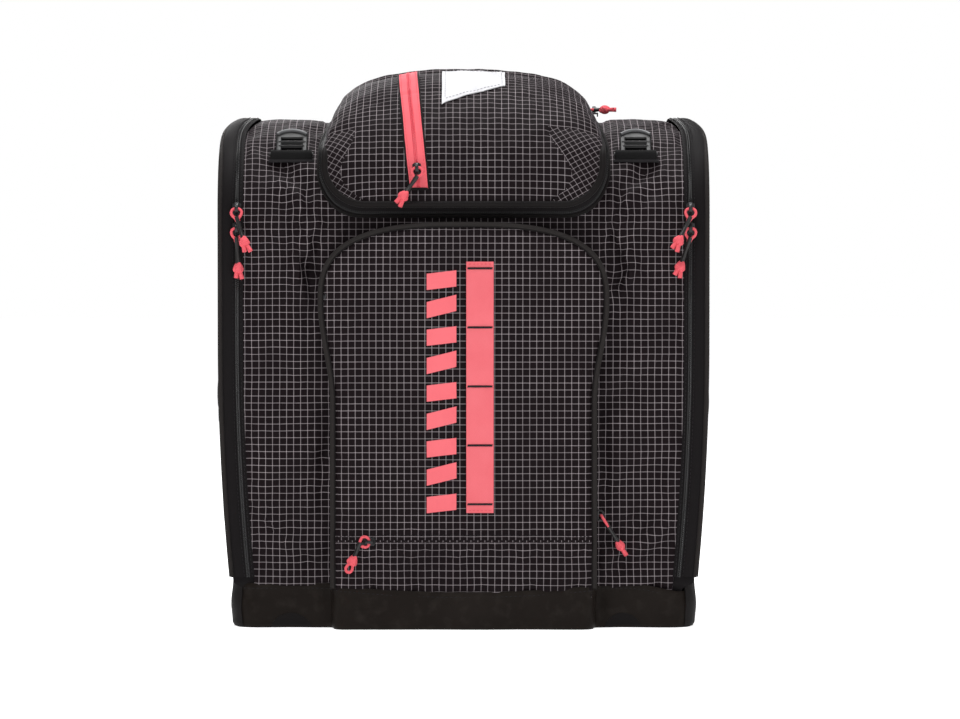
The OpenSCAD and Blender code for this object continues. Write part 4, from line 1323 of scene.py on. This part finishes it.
def back_pad(x0, x1, z0, z1):
    """Mesh-covered foam pad with a sewn channel across its middle."""
    x = np.linspace(x0, x1, 34)[None]
    z = np.linspace(z1, z0, 90)[:, None]
    u, v = (x - x0) / (x1 - x0) * 2 - 1, (z - z0) / (z1 - z0) * 2 - 1
    squeeze = 1 - 0.06 * np.abs(v) ** 8
    px = (x0 + x1) / 2 + (x - (x0 + x1) / 2) * squeeze
    pz = (z0 + z1) / 2 + (z - (z0 + z1) / 2) * (1 - 0.03 * np.abs(u) ** 8)
    channel = 0
    for k in np.linspace(z0, z1, max(2, int((z1 - z0) / 70)) + 1)[1:-1]:
        channel = channel + np.exp(-((z - k) / 4.5) ** 2)
    swell = ((1 - u**8) * (1 - v**12)) ** 0.5
    y = BACK_Y + 1.5 + (PADS_HI[1] - BACK_Y - 2.0) * swell * (1 - 0.55 * np.clip(channel, 0, 1)) + 0 * px
    px, pz = np.broadcast_arrays(px, pz)
    grid = join(px, y, pz)
    back = join(px, BACK_Y - 0.6, pz)
    edge = border(grid) * [1, 0, 1] + [0, BACK_Y + 1.6, 0]
    return [sheet(grid, join(px, pz), 2, back=back), tube(edge, 1.9, 8, closed=True, mat=1)]


def back_pads():
    """Two long pads beside the spine and a lumbar pad below them."""
    split, lumbar = 18.0, 55.0  # half widths of the spine's channel and of the lumbar pad
    wide, low = PADS_HI[0], 122.0
    parts = back_pad(-wide, -split, low, PADS_HI[2]) + back_pad(split, wide, low, PADS_HI[2])
    parts += back_pad(-lumbar, lumbar, PADS_LO[2], low - 16)
    piece("back_pads_mesh", parts, [MESH, BINDING], "bag_body", ["back_pads"])


# ---------- harness ----------

PAD_EDGE, PAD_SWELL = 1.4, 3.6  # half thickness of a foam pad at its edge, and how much it swells
STRAP_R = 597.0  # bend of a shoulder strap in side view
STRAP_LO, STRAP_HI = box("right_shoulder_strap")
STRAP_MID_Y = STRAP_HI[1] - 5 - STRAP_R
STRAP_MID_Z = (STRAP_LO[2] + STRAP_HI[2]) / 2


def strap_line(t, out):
    """Middle of a shoulder strap as (centre x, y, z, half width)."""
    z = mix(STRAP_HI[2], STRAP_LO[2], t)
    y = STRAP_MID_Y + out + np.sqrt(STRAP_R**2 - (z - STRAP_MID_Z) ** 2)
    inner, outer = STRAP_LO[0] + 30, STRAP_HI[0] - 22
    return mix(inner, outer, ease(t)), y, z, 30 - 8 * ease((t - 0.55) / 0.45)


def box_stitch(mid, wide, tall, out, mat):
    """Square of stitches with a cross, in the XZ plane."""
    a = np.array([[-wide, -tall], [wide, -tall], [wide, tall], [-wide, tall]]) / 2
    lines = [(a[0], a[1]), (a[1], a[2]), (a[2], a[3]), (a[3], a[0]), (a[0], a[2]), (a[1], a[3])]
    parts = []
    for p, q in lines:
        flat = np.linspace(p, q, 12)
        path = join(mid[0] + flat[:, 0], mid[1], mid[2] + flat[:, 1])
        parts.append(stitches(path, out, 3.0, 2.1, mat=mat))
    return parts


def foam(x, y, z, bulge, edge_r, flip=False):
    """Foam pad: cloth outside, mesh inside and a bound edge."""
    swell = PAD_EDGE + PAD_SWELL * bulge
    way = -1 if flip else 1
    face, lining, uv = (a[:, ::way] for a in (join(x, y + swell, z), join(x, y - swell, z), join(x, z)))
    return [sheet(face, uv, 2, 0, 1, lining), tube(border(join(x, y, z)), edge_r, 10, closed=True, mat=2)]


def shoulder_strap(name):
    """Padded strap: cloth outside, mesh inside, bound edge, webbing with a ladder for the chest strap."""
    side, body = SIDES[name], name + "_strap"
    t = np.linspace(0, 1, 72)[:, None]
    u = np.linspace(-1, 1, 17)[None]
    cx, y, z, half = strap_line(t, 0.0)
    end = 1 - 0.10 * np.maximum(ease((0.05 - t) / 0.05), ease((t - 0.95) / 0.05))
    x = side * cx + half * end * u
    ends = np.sqrt(np.minimum(1, np.minimum(t, 1 - t) / 0.03 + 0.1))
    bulge = np.sqrt(np.maximum(1 - np.abs(u) ** 5, 0)) * ends
    web_x, web_y, web_z, _ = strap_line(np.linspace(0.03, 0.985, 90), 6.0)
    web = join(side * web_x, web_y, web_z)
    parts = foam(x, y, z, bulge, 2.5) + [strap(web, X_AXIS, 25, 1.6, mat=3)]
    for k in np.linspace(4, 84, 9).astype(int):
        tack = web[k] + np.linspace([-11.5, 1.0, 0], [11.5, 1.0, 0], 8)
        parts.append(tube(tack, 0.55, 6, mat=4))
    inset = join(side * cx + half * 0.82 * np.array([[-1, 1]]), strap_line(t, 4.9)[1], z)
    parts += [stitches(inset[3:-3, k], Y_AXIS, mat=4) for k in (0, 1)]
    piece(name + "_strap_padded", parts, [BLACK, MESH, BINDING, WEBBING, THREAD], body,
          [name + "_shoulder_strap"])

    top = web[0]
    yoke = np.array([top + [0, 0.2, 0], top + [0, 0.0, 6], [side * 50.0, BACK_Y + 12, STRAP_HI[2] + 3],
                     [side * 50.0, BACK_Y + 3, STRAP_HI[2] + 2],
                     [side * 50.0, BACK_Y + 1.6, STRAP_HI[2] - 8]])
    root = strap(smooth_path(yoke), X_AXIS, 42, 2.6)
    obj = piece(name + "_strap_root", [root], [WEBBING], None)
    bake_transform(obj)

    lo, hi = box(name + "_strap_adjuster")
    mid_y, mid_x = (lo[1] + hi[1]) / 2, (lo[0] + hi[0]) / 2
    frame_z = (lo[2] + hi[2]) / 2
    tall = hi[2] - lo[2]
    at = (mid_x, mid_y, frame_z)
    parts = [placed(hoop(rounded(24.6, tall - 5.4, 3), 5.4, 5.0), at)]
    parts.append(placed(slab(rounded(24, 5.0, 1.0) + [0, 0.4], 4.6, 0.8), at))
    for k in (-1.6, 0, 1.6):
        parts.append(tube([[mid_x - 9, mid_y + 2.3, frame_z + 0.4 + k],
                           [mid_x + 9, mid_y + 2.3, frame_z + 0.4 + k]], 0.5, 6))
    lip = rounded(18, 5, 1.5)
    parts.append(placed(slab(lip, 2.4, 0.7), (mid_x, hi[1] - 0.6, lo[2] + 2.2), turn(X_AXIS, 24)))
    piece(name + "_adjuster", parts, [MOULDED], body, [name + "_strap_adjuster"])

    lo, hi = box(name + "_lower_webbing")
    start = np.array([side * 88.0, hi[1] + 1.6, 172.0])
    foot = np.array([side * 186.0, BACK_Y + 3.4, 117.0])
    path = smooth_path([start, mix(start, foot, 0.12) + [0, -0.5, -2], mix(start, foot, 0.5) + [0, 1.0, -4],
                        mix(start, foot, 0.9) + [0, 3.2, 0.6], foot + [side * 3, 2.2, -1]], 3.0)
    side_way = mix(X_AXIS[None], np.array([[0.5, 0, 0.86 * side]]),
                   ease(np.linspace(0, 1.6, len(path)))[:, None])
    tail = smooth_path([start + [0, 1.9, 8], start + [side * 2, 3.6, -10], start + [side * 5, 3.2, -42],
                        start + [side * 3, 1.2, -68]], 3.0)
    loop = strap(path, side_way, 20, 1.5)
    obj = piece(name + "_lower_strap", [loop], [WEBBING], None, [name + "_lower_webbing"])
    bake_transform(obj)
    hem = tail[-1]
    parts = [strap(tail, X_AXIS, 20, 1.5), tube([hem - [10, 0, 0], hem + [10, 0, 0]], 1.3, 8)]
    piece(name + "_strap_tail", parts, [WEBBING], body)
    patch = np.array([[15, -9], [15, 9], [-9, 12], [-9, -12]]) * side
    anchor = placed(slab(patch, 3.2, 0.8), foot - [0, 2.2, 0])
    parts = [anchor] + box_stitch(foot + [side * 4, -0.4, 0], 14, 12, Y_AXIS, 1)
    piece(name + "_strap_anchor", parts, [WEBBING, THREAD], "bag_body")


def hoop(outline, width, thick, mat=0):
    """Closed frame in the XZ plane: a bar with broken edges carried round an outline."""
    outline = np.asarray(outline, float)
    t = unit(np.roll(outline, -1, 0) - np.roll(outline, 1, 0))
    path, across = join(outline[:, 0], 0, outline[:, 1]), join(t[:, 1], 0, -t[:, 0])
    return sweep(path, across, Y_AXIS, rounded(width, thick, min(width, thick) * 0.3, 3), closed=True,
                 mat=mat)


def buckle_halves(name, socket_body, plug_body, at, plug_at):
    """Side-release buckle, webbing along X, the socket open towards +X."""
    x, y, z = at
    mid = np.array([x, y, z])
    shell = np.array([[-17, -10.5], [-10, -12], [3, -11], [8, -9], [8, 9], [3, 11], [-10, 12], [-17, 10.5]])
    shell = smooth_outline(shell)
    parts = [placed(slab(shell, 2.0, 0.7), mid + [0, 3.0, 0]),
             placed(slab(shell, 1.8, 0.7), mid - [0, 3.1, 0])]
    for e in (-1, 1):
        rib = np.array([[x - 15, y, z + e * 10.2], [x - 8, y, z + e * 10.9]])
        parts.append(sweep(rib, Z_AXIS, Y_AXIS, rounded(1.8, 5.6, 0.5, 3)))
    parts.append(tube([[x - 13.5, y, z - 11], [x - 13.5, y, z + 11]], 2.2, 10))
    for e in (-5, 0, 5):
        parts.append(tube([[x - 6, y + 4.0, z + e], [x + 1, y + 4.0, z + e]], 0.55, 6))
    piece(name + "_socket", parts, [MOULDED], socket_body, [name + "_buckle_socket"])

    base = np.array(plug_at, float)
    parts = [placed(hoop(rounded(12.0, 22.5, 2.4), 3.0, 6.6), base + [15.8, 0, 0])]
    parts.append(placed(slab(rounded(4, 21, 1.2), 6.4, 0.8), base + [10.6, 0, 0]))
    for e in (-1, 1):
        prong = smooth_path([base + [9, 0, e * 7.0], base + [3, 0, e * 7.4], base + [-3, 0, e * 6.8],
                             base + [-6, 0, e * 5.6]], 1.0)
        parts.append(sweep(prong, Z_AXIS, Y_AXIS, rounded(2.6, 3.4, 0.8, 3)))
    tongue = np.array([base + [9, 0, 0], base + [-6.5, 0, 0]])
    parts.append(sweep(tongue, Z_AXIS, Y_AXIS, rounded(3.2, 3.2, 0.8, 3)))
    piece(name + "_plug", parts, [MOULDED], plug_body, [name + "_buckle_plug"])


def smooth_outline(points, step=1.2):
    """Closed outline with its corners rounded off."""
    p = np.asarray(points, float)
    mid = (p + np.roll(p, -1, 0)) / 2
    out = []
    for a, corner, b in zip(mid, np.roll(p, -1, 0), np.roll(mid, -1, 0)):
        t = np.linspace(0, 1, 8, endpoint=False)[:, None]
        curve = (1 - t) ** 2 * mix(a, corner, 0.45) + 2 * t * (1 - t) * corner + t**2 * mix(b, corner, 0.45)
        out.append(curve)
    loop = np.concatenate(out)
    return resample(np.concatenate([loop, loop[:1]]), step)[:-1]


def chest_strap():
    """Chest straps with their adjusters, and the side-release buckle between them."""
    lo, hi = box("chest_strap_right")
    y, z, wide = (lo[1] + hi[1]) / 2, (lo[2] + hi[2]) / 2, hi[2] - lo[2]
    slo, shi = box("chest_buckle_socket")
    by = (slo[1] + shi[1]) / 2
    for name, side in SIDES.items():
        near = 13.5 if side < 0 else 19.0  # where the webbing turns round the buckle's bar
        flat = smooth_path([[side * hi[0], y, z], [side * 60, y + 0.2, z], [side * (near + 14), y, z]], 1.5)
        wrap = smooth_path([[side * (near + 22), y + 1.8, z], [side * (near + 9), by - 2.4, z],
                            [side * near, by - 2.6, z],
                            [side * (near - 2.2), by, z], [side * near, by + 2.6, z],
                            [side * (near + 12), by + 1.9, z],
                            [side * (near + 30), y + 3.6, z]], 1.5)
        keeper = np.array([[side * (near + 27), y + 3.4, z - 11], [side * (near + 27), y + 3.4, z + 11]])
        loop = placed(hoop(rounded(9, wide + 4, 1.8), 2.2, 3.6, mat=1), (side * 74, y + 0.4, z))
        rail = np.array([[side * 80, y + 0.9, z - 10], [side * 80, y + 0.9, z + 10]])
        parts = [strap(flat, Z_AXIS, wide, 1.4), loop, tube(rail, 1.5, 8, mat=1)]
        piece("chest_webbing_" + name, parts, [WEBBING, MOULDED], name + "_strap",
              ["chest_strap_" + name])
        parts = [strap(wrap, Z_AXIS, wide, 1.4), sweep(keeper, X_AXIS, Y_AXIS, rounded(6, 4.4, 1.0, 3),
                                                       mat=1)]
        piece("chest_loop_" + name, parts, [WEBBING, BINDING], "left_strap" if side < 0 else "chest_plug")
    buckle_halves("chest", "left_strap", "chest_plug", (0, by, z), (0, by, z))


def hip_belt():
    """Padded hip wings, their webbing, and the two halves of the hip buckle."""
    wlo, whi = box("right_hip_webbing")
    wy, wz = (whi[1] - 0.8), (wlo[2] + whi[2]) / 2
    for name, side in SIDES.items():
        lo, hi = box(name + "_hip_wing")
        inner = min(abs(lo[0]), abs(hi[0]))
        tip = max(abs(lo[0]), abs(hi[0]))
        t = np.linspace(0, 1, 60)[:, None]
        u = np.linspace(-1, 1, 17)[None]
        x = mix(inner, tip, t)
        half = np.interp(x, [inner, 150, 190, 200, tip - 3, tip], [28.5, 26.5, 20.5, 17.5, 12.5, 5.0])
        zc = np.interp(x, [inner, 150, 200, tip], [76.5, 76.5, 76.0, 77.0])
        z = zc + half * u
        ends = np.sqrt(np.clip(np.minimum(t, 1 - t) / 0.04 + 0.05, 0, 1))
        bulge = np.sqrt(np.maximum(1 - np.abs(u) ** 5, 0)) * ends
        mid_y = (lo[1] + hi[1]) / 2
        parts = foam(side * x, mid_y, z, bulge, 2.4, side > 0)
        for e in (1, -1):
            row = join(side * x, mid_y + 4.7, zc + e * 0.80 * half)[3:-6, 0]
            parts.append(stitches(row, Y_AXIS, mat=3))
        piece(name + "_hip_pad", parts, [BLACK, MESH, BINDING, THREAD], name + "_hip",
              [name + "_hip_wing"])
        end_x = 84.0 if side < 0 else 80.0  # where the webbing turns round the buckle's bar
        path = smooth_path([[side * whi[0], wy - 3.4, wz], [side * 192, wy - 2.6, wz],
                            [side * 172, wy - 0.6, wz],
                            [side * 130, wy + 0.4, wz], [side * (end_x + 10), wy - 0.8, wz],
                            [side * end_x, wy - 1.9, wz]], 2.0)
        back = smooth_path([[side * end_x, wy + 1.6, wz], [side * (end_x + 14), wy + 2.4, wz],
                            [side * 118, wy + 2.2, wz],
                            [side * 140, wy + 2.6, wz]], 2.0)
        slide = placed(hoop(rounded(16, 23.5, 2), 2.4, 3.2, mat=1), (side * 126, wy + 1.4, wz))
        parts = [strap(path, Z_AXIS, 20, 1.5), strap(back, Z_AXIS, 20, 1.4), slide]
        parts += box_stitch((side * 192, wy - 1.5, wz), 20, 14, Y_AXIS, 2)
        piece(name + "_hip_web", parts, [WEBBING, MOULDED, THREAD], name + "_hip",
              [name + "_hip_webbing"])
    lo, hi = box("hip_buckle_socket")
    mid = (lo + hi) / 2
    plug_x = box("hip_buckle_plug")[0][0] + 7
    buckle_halves("hip", "left_hip", "right_hip", (lo[0] + 17, mid[1], mid[2]), (plug_x, mid[1], mid[2]))


def haul_handle():
    """Webbing grab handle, folded and stitched in its middle, tacked at both ends."""
    lo, hi = box("haul_handle")
    z, wide = (lo[2] + hi[2]) / 2, hi[2] - lo[2]
    r = ((hi[0]) ** 2 + (hi[1] - lo[1] - 1) ** 2) / (2 * (hi[1] - lo[1] - 1)) - 1
    a = np.linspace(-math.asin(hi[0] / r) * 0.995, math.asin(hi[0] / r) * 0.995, 90)
    x = r * np.sin(a)
    y = hi[1] - 1.6 - r * (1 - np.cos(a))
    path = join(x, y, z)
    grip = path[22:68]
    parts = [strap(path, Z_AXIS, wide, 2.6)]
    t = unit(np.gradient(grip, axis=0))
    parts.append(sweep(grip, Z_AXIS, np.cross(t, Z_AXIS), rounded(wide * 0.8, 5.0, 2.2, 5), mat=1))
    for e in (-1, 1):
        for k in (5, 11):
            at = path[k if e < 0 else -1 - k]
            parts.append(tube([at + [0, 1.3, -10], at + [0, 1.3, 10]], 0.6, 6, mat=2))
    piece("haul_webbing", parts, [WEBBING, BINDING, THREAD], "haul_handle", ["haul_handle"])


# ---------- ladder buckles ----------

JOINTS = {j["name"]: j for j in frame["joints"]}


def ladder_buckle(name):
    """Accessory buckle on a webbing tab: domed thumb plate, slot and cross bars."""
    pivot = np.array(JOINTS[name + "_buckle_tilt"]["pos_m"]) / MM
    lo, hi = box(name + "_ladder_buckle")
    lean = math.radians(47)
    out, up = np.array([0, -math.cos(lean), math.sin(lean)]), np.array([0, math.sin(lean), math.cos(lean)])
    axes = [X_AXIS, -out, up]
    wide = (hi[0] - lo[0]) / 2 - 2.6
    a = np.linspace(math.radians(46), math.radians(134), 24)
    dome = join(21 * np.cos(a), 10 + 21 * np.sin(a))
    dome = np.concatenate([[[wide - 0.6, 19.9]], dome, [[0.6 - wide, 19.9]]])
    # The lip along the dome's top edge takes the pale plastic as a painted highlight.
    lip = join(19.4 * np.cos(a), -2.8, 10 + 19.4 * np.sin(a))
    parts = [placed(slab(dome, 4.4, 1.1), pivot, axes), placed(tube(lip, 1.7, 10, mat=1), pivot, axes)]
    for z0, z1, half in ((13.0, 16.6, wide - 0.6), (7.6, 11.2, 13.2)):
        plate = rounded(2 * half, z1 - z0, 1.0) + [0, (z0 + z1) / 2]
        parts.append(placed(slab(plate, 4.2, 0.9), pivot, axes))
        teeth = np.array([[1.5 - half, -2.3, (z0 + z1) / 2], [half - 1.5, -2.3, (z0 + z1) / 2]])
        parts.append(placed(tube(teeth, 0.6, 6), pivot, axes))
    for e in (-1, 1):
        rail = np.array([[e * (wide - 3.2), 0, -2.0], [e * (wide - 3.2), 0, 21.0]])
        parts.append(placed(sweep(rail, X_AXIS, Y_AXIS, rounded(5.0, 4.4, 1.2, 4)), pivot, axes))
    parts.append(placed(tube([[-wide - 5, 0, 0], [wide + 5, 0, 0]], 1.9, 12), pivot, axes))
    piece(name + "_buckle", parts, [MOULDED, LIP_PAINTED_HIGHLIGHT], name + "_ladder_buckle",
          [name + "_ladder_buckle"])

    rise, lead = 4.8, math.radians(53.2)  # the loop's height off the cloth, and the cloth's slope there
    away = np.array([0, -math.cos(lead), math.sin(lead)])
    down = np.array([0, -math.sin(lead), -math.cos(lead)])
    lie = 3.9
    flat = [[6, -lie - 0.6], [5, -lie + 0.4], [4.2, -1.4], [3.2, 1.2], [1.6, 3.0], [0, 3.4], [-2.4, 2.4],
            [-3.6, -0.6],
            [-6, -3.4], [-13, -lie]]
    loop = smooth_path([pivot + down * t + away * (n - t * t / (2 * (FRONT_R + rise))) for t, n in flat],
                       1.2)
    parts = [strap(loop, X_AXIS, 38, 1.8)]
    seam = pivot + down * 5.4 - away * 3.4
    parts.append(tube([seam - [21, 0, 0], seam, seam + [21, 0, 0]], 1.5, 8, mat=1))
    piece(name + "_buckle_tab", parts, [WEBBING, THREAD], "bag_body", ["buckle_tabs"])


# ---------- zip sliders and pulls ----------

def slider(name, out):
    """Painted zip slider: plate, side walls and a bridge for the cord."""
    joint = JOINTS[name + "_pull_swing"]
    out = unit(np.asarray(out, float))
    bore = unit(np.array(joint["axis"], float))
    bore = unit(bore - out * (bore @ out))
    axes = [bore, -out, np.cross(out, bore)]
    at = np.array(joint["pos_m"]) / MM - out * 7.4
    shape = smooth_outline([[-4.2, -2.0], [-2.6, -5.6], [2.6, -5.6], [4.2, -2.0], [3.9, 4.8], [1.8, 5.6],
                            [-1.8, 5.6],
                            [-3.9, 4.8]], 0.9)
    parts = [placed(slab(shape, 1.7, 0.5), at + out * 3.9, axes)]
    for e in (-1, 1):
        wall = np.array([[e * 3.4, -2.0, -4.6], [e * 3.4, -2.0, 4.2]])
        parts.append(placed(sweep(wall, X_AXIS, Y_AXIS, rounded(1.1, 2.4, 0.3, 3)), at, axes))
    arch_line = smooth_path([[0, -4.4, 4.4], [0, -7.4, 4.0], [0, -9.7, 1.6], [0, -9.7, -1.6],
                             [0, -7.4, -4.0],
                             [0, -4.4, -4.4]], 0.7)
    t = unit(np.gradient(arch_line, axis=0))
    bridge = sweep(arch_line, X_AXIS, np.cross(t, X_AXIS), rounded(3.2, 1.5, 0.5, 3))
    parts.append(placed(bridge, at, axes))
    piece(name + "_zip_slider", parts, [PAINTED], name + "_slider", [name + "_slider"])


def pull(name, looped=False):
    """Cord pull: a loop through the slider, a sleeve, a knot and two cut ends."""
    joint = JOINTS[name + "_pull_swing"]
    eye = np.array(joint["pos_m"]) / MM
    bore = unit(np.array(joint["axis"], float))
    node = frame["nodes"][name + "_pull"]
    co = np.array([node.matrix_world @ v.co for v in node.data.vertices]) / MM
    way = unit(co[np.argmax(np.linalg.norm(co - eye, axis=1))] - eye)
    reach = co @ way
    tip = co[reach > reach.max() - 0.5].mean(0)
    hang = unit((tip - eye) - bore * ((tip - eye) @ bore))
    root = eye + hang * 7.6
    down = unit(tip - root)
    length = np.linalg.norm(tip - root)
    deep = np.cross(bore, hang)
    loop = []
    for b, h in ((1.0, 12.5), (1.5, 9.5), (4.0, 6.4), (4.7, 3.2), (3.2, 0.7), (0, 0), (-3.2, 0.7),
                 (-4.7, 3.2),
                 (-4.0, 6.4), (-1.5, 9.5), (-1.0, 12.5)):
        low = max(h - 7.6, 0)
        loop.append(eye + bore * b + hang * min(h, 7.6) + down * low)
    parts = [tube(smooth_path(loop, 0.8), 1.35, 8)]
    knot = root + down * (length - 11.5)
    cuff = np.linspace(root + down * 0.5, knot - down * 1.5, 14)
    parts.append(tube(cuff, 2.05, 10, mat=1, taper=1 + 0.14 * np.cos(np.linspace(0, 2 * math.pi, 14))))
    across = unit(np.cross(deep, down))
    t = np.linspace(0, 2 * math.pi, 48, endpoint=False)
    wind = join(np.sin(t) + 2 * np.sin(2 * t), np.cos(t) - 2 * np.cos(2 * t), -1.2 * np.sin(3 * t)) * 1.18
    parts.append(tube(knot + wind[:, :1] * across + wind[:, 1:2] * down * 1.15 + wind[:, 2:] * deep, 1.85,
                      8, closed=True))
    parts.append(tube(np.linspace(knot - down * 4.8, knot + down * 4.8, 7), 4.4, 10,
                      taper=[0.3, 0.75, 0.95, 1, 0.95, 0.75, 0.3]))
    if looped:
        ring_path = [knot + down * h + across * b for b, h in ((0.4, 2), (2.2, 5), (2.9, 8.4), (1.4, 11),
                                                               (-1.4, 11),
                                                               (-2.9, 8.4), (-2.2, 5), (-0.4, 2))]
        parts.append(tube(smooth_path(ring_path, 0.8), 1.35, 8))
    else:
        for e, spread, end in ((-1, 2.4, 9.2), (1, 3.0, 10.4)):
            ends = [knot + across * e * b + down * h for b, h in ((0.9, 1), (1.8, 5), (spread, end))]
            tail = smooth_path(ends, 0.8)
            parts.append(tube(tail, 1.9, 8, taper=mix(1, 1.15, np.linspace(0, 1, len(tail)))))
    piece(name + "_cord", parts, [CORD, SLEEVE], name + "_pull", [name + "_pull"], sharp=60)


# ---------- studio and camera ----------

def studio():
    """Pale floor, five soft round lights and the camera, in a pale room. Sizes and places are in metres."""
    paper = Graph("paper", (0.92, 0.92, 0.925), 0.9)
    paper.set("Emission Color", (1.0, 1.0, 1.0))
    seen = paper.node("LightPath", {})
    paper.set("Emission Strength", paper.math("MULTIPLY_ADD", seen, 0.34, 0.46))  # brighter to the camera
    wide = 9.0  # half the floor's width, in metres
    mesh = bpy.data.meshes.new("floor")
    mesh.from_pydata([(-wide, -wide, 0), (wide, -wide, 0), (wide, wide, 0), (-wide, wide, 0)], [],
                     [(0, 1, 2, 3)])
    mesh.materials.append(paper.mat)
    floor = bpy.data.objects.new("floor", mesh)
    bpy.context.scene.collection.objects.link(floor)
    for name, at, size, power, aim in (
            ("key", (-0.5, -1.3, 2.6), 1.1, 31, (0, 0, 0.25)),
            ("front", (0.9, -3.4, 1.1), 2.2, 18, (0, 0, 0.25)),
            ("top", (0.1, 0.4, 2.5), 1.2, 38, (0, 0, 0.3)),
            ("back", (-0.8, 2.8, 1.7), 1.6, 26, (0, 0, 0.25)),
            ("side", (2.6, -0.4, 1.2), 1.6, 7, (0, 0, 0.25))):
        light = bpy.data.lights.new(name, "AREA")
        light.shape, light.size, light.energy = "DISK", size, power
        obj = bpy.data.objects.new(name, light)
        obj.location = at
        obj.rotation_euler = (Vector(aim) - Vector(at)).to_track_quat("-Z", "Y").to_euler()
        bpy.context.scene.collection.objects.link(obj)
    world = bpy.data.worlds.new("studio")
    world.use_nodes = True
    tree = world.node_tree
    room = tree.nodes["Background"]
    room.inputs[0].default_value = (1, 1, 1, 1)
    seen = tree.nodes.new("ShaderNodeLightPath").outputs["Is Camera Ray"]
    level = tree.nodes.new("ShaderNodeMapRange")
    level.inputs[3].default_value, level.inputs[4].default_value = 0.22, 1.0
    tree.links.new(seen, level.inputs[0])
    tree.links.new(level.outputs[0], room.inputs[1])
    bpy.context.scene.world = world
    camera = bpy.data.cameras.new("camera")
    camera.sensor_width, camera.lens = 36, 205
    eye = bpy.data.objects.new("camera", camera)
    aim, far, above = Vector((0.015, FRONT_Y * MM, 0.246)), 5.0, math.radians(2.2)
    eye.location = aim + Vector((0, -far * math.cos(above), far * math.sin(above)))
    eye.rotation_euler = (aim - eye.location).to_track_quat("-Z", "Y").to_euler()
    bpy.context.scene.collection.objects.link(eye)
    bpy.context.scene.camera = eye
    bpy.context.scene.view_settings.view_transform = "Standard"


for side_name in SIDES:
    side_cloth(side_name)
    door(side_name)
    door_zip(side_name)
centre_cloth()
back_cloth()
tray()
pocket_face = pocket()
gear_loops(pocket_face)
printed_bars(pocket_face)
flat_zip("front_pocket_zip", "front_pocket_zipper", Z_AXIS, X_AXIS)
flat_zip("lower_pocket_zip", "lower_pocket_zipper", X_AXIS, -Y_AXIS, 1.4)
lid_surface = lid()
lid_zip()
lid_pocket_zip(lid_surface)
lid_patch(lid_surface)
back_pads()
for side_name in SIDES:
    divider(SIDES[side_name])
    shoulder_strap(side_name)
    ladder_buckle(side_name)
chest_strap()
hip_belt()
haul_handle()
front = -Y_AXIS
for slider_name, facing_out in (
        ("left_upper", front), ("left_lower", front), ("right_upper", front), ("right_lower", front),
        ("lid", Z_AXIS), ("lid_pocket", None), ("front_pocket", X_AXIS), ("lower_pocket", front)):
    if facing_out is None:
        bore = unit(np.array(JOINTS["lid_pocket_zip"]["axis"], float))
        swing, centre = (np.array(JOINTS[j]["pos_m"]) for j in ("lid_pocket_pull_swing", "lid_pocket_zip"))
        arm = swing - centre
        facing_out = arm - bore * (arm @ bore)
    slider(slider_name, facing_out)
    pull(slider_name, slider_name == "lower_pocket")
for node_name, look in (("base_board", STIFF), ("frame_sheet", STIFF), ("drain_grommets", PAINTED)):
    mesh = frame["nodes"][node_name].data
    mesh.materials.clear()
    mesh.materials.append(look)
studio()
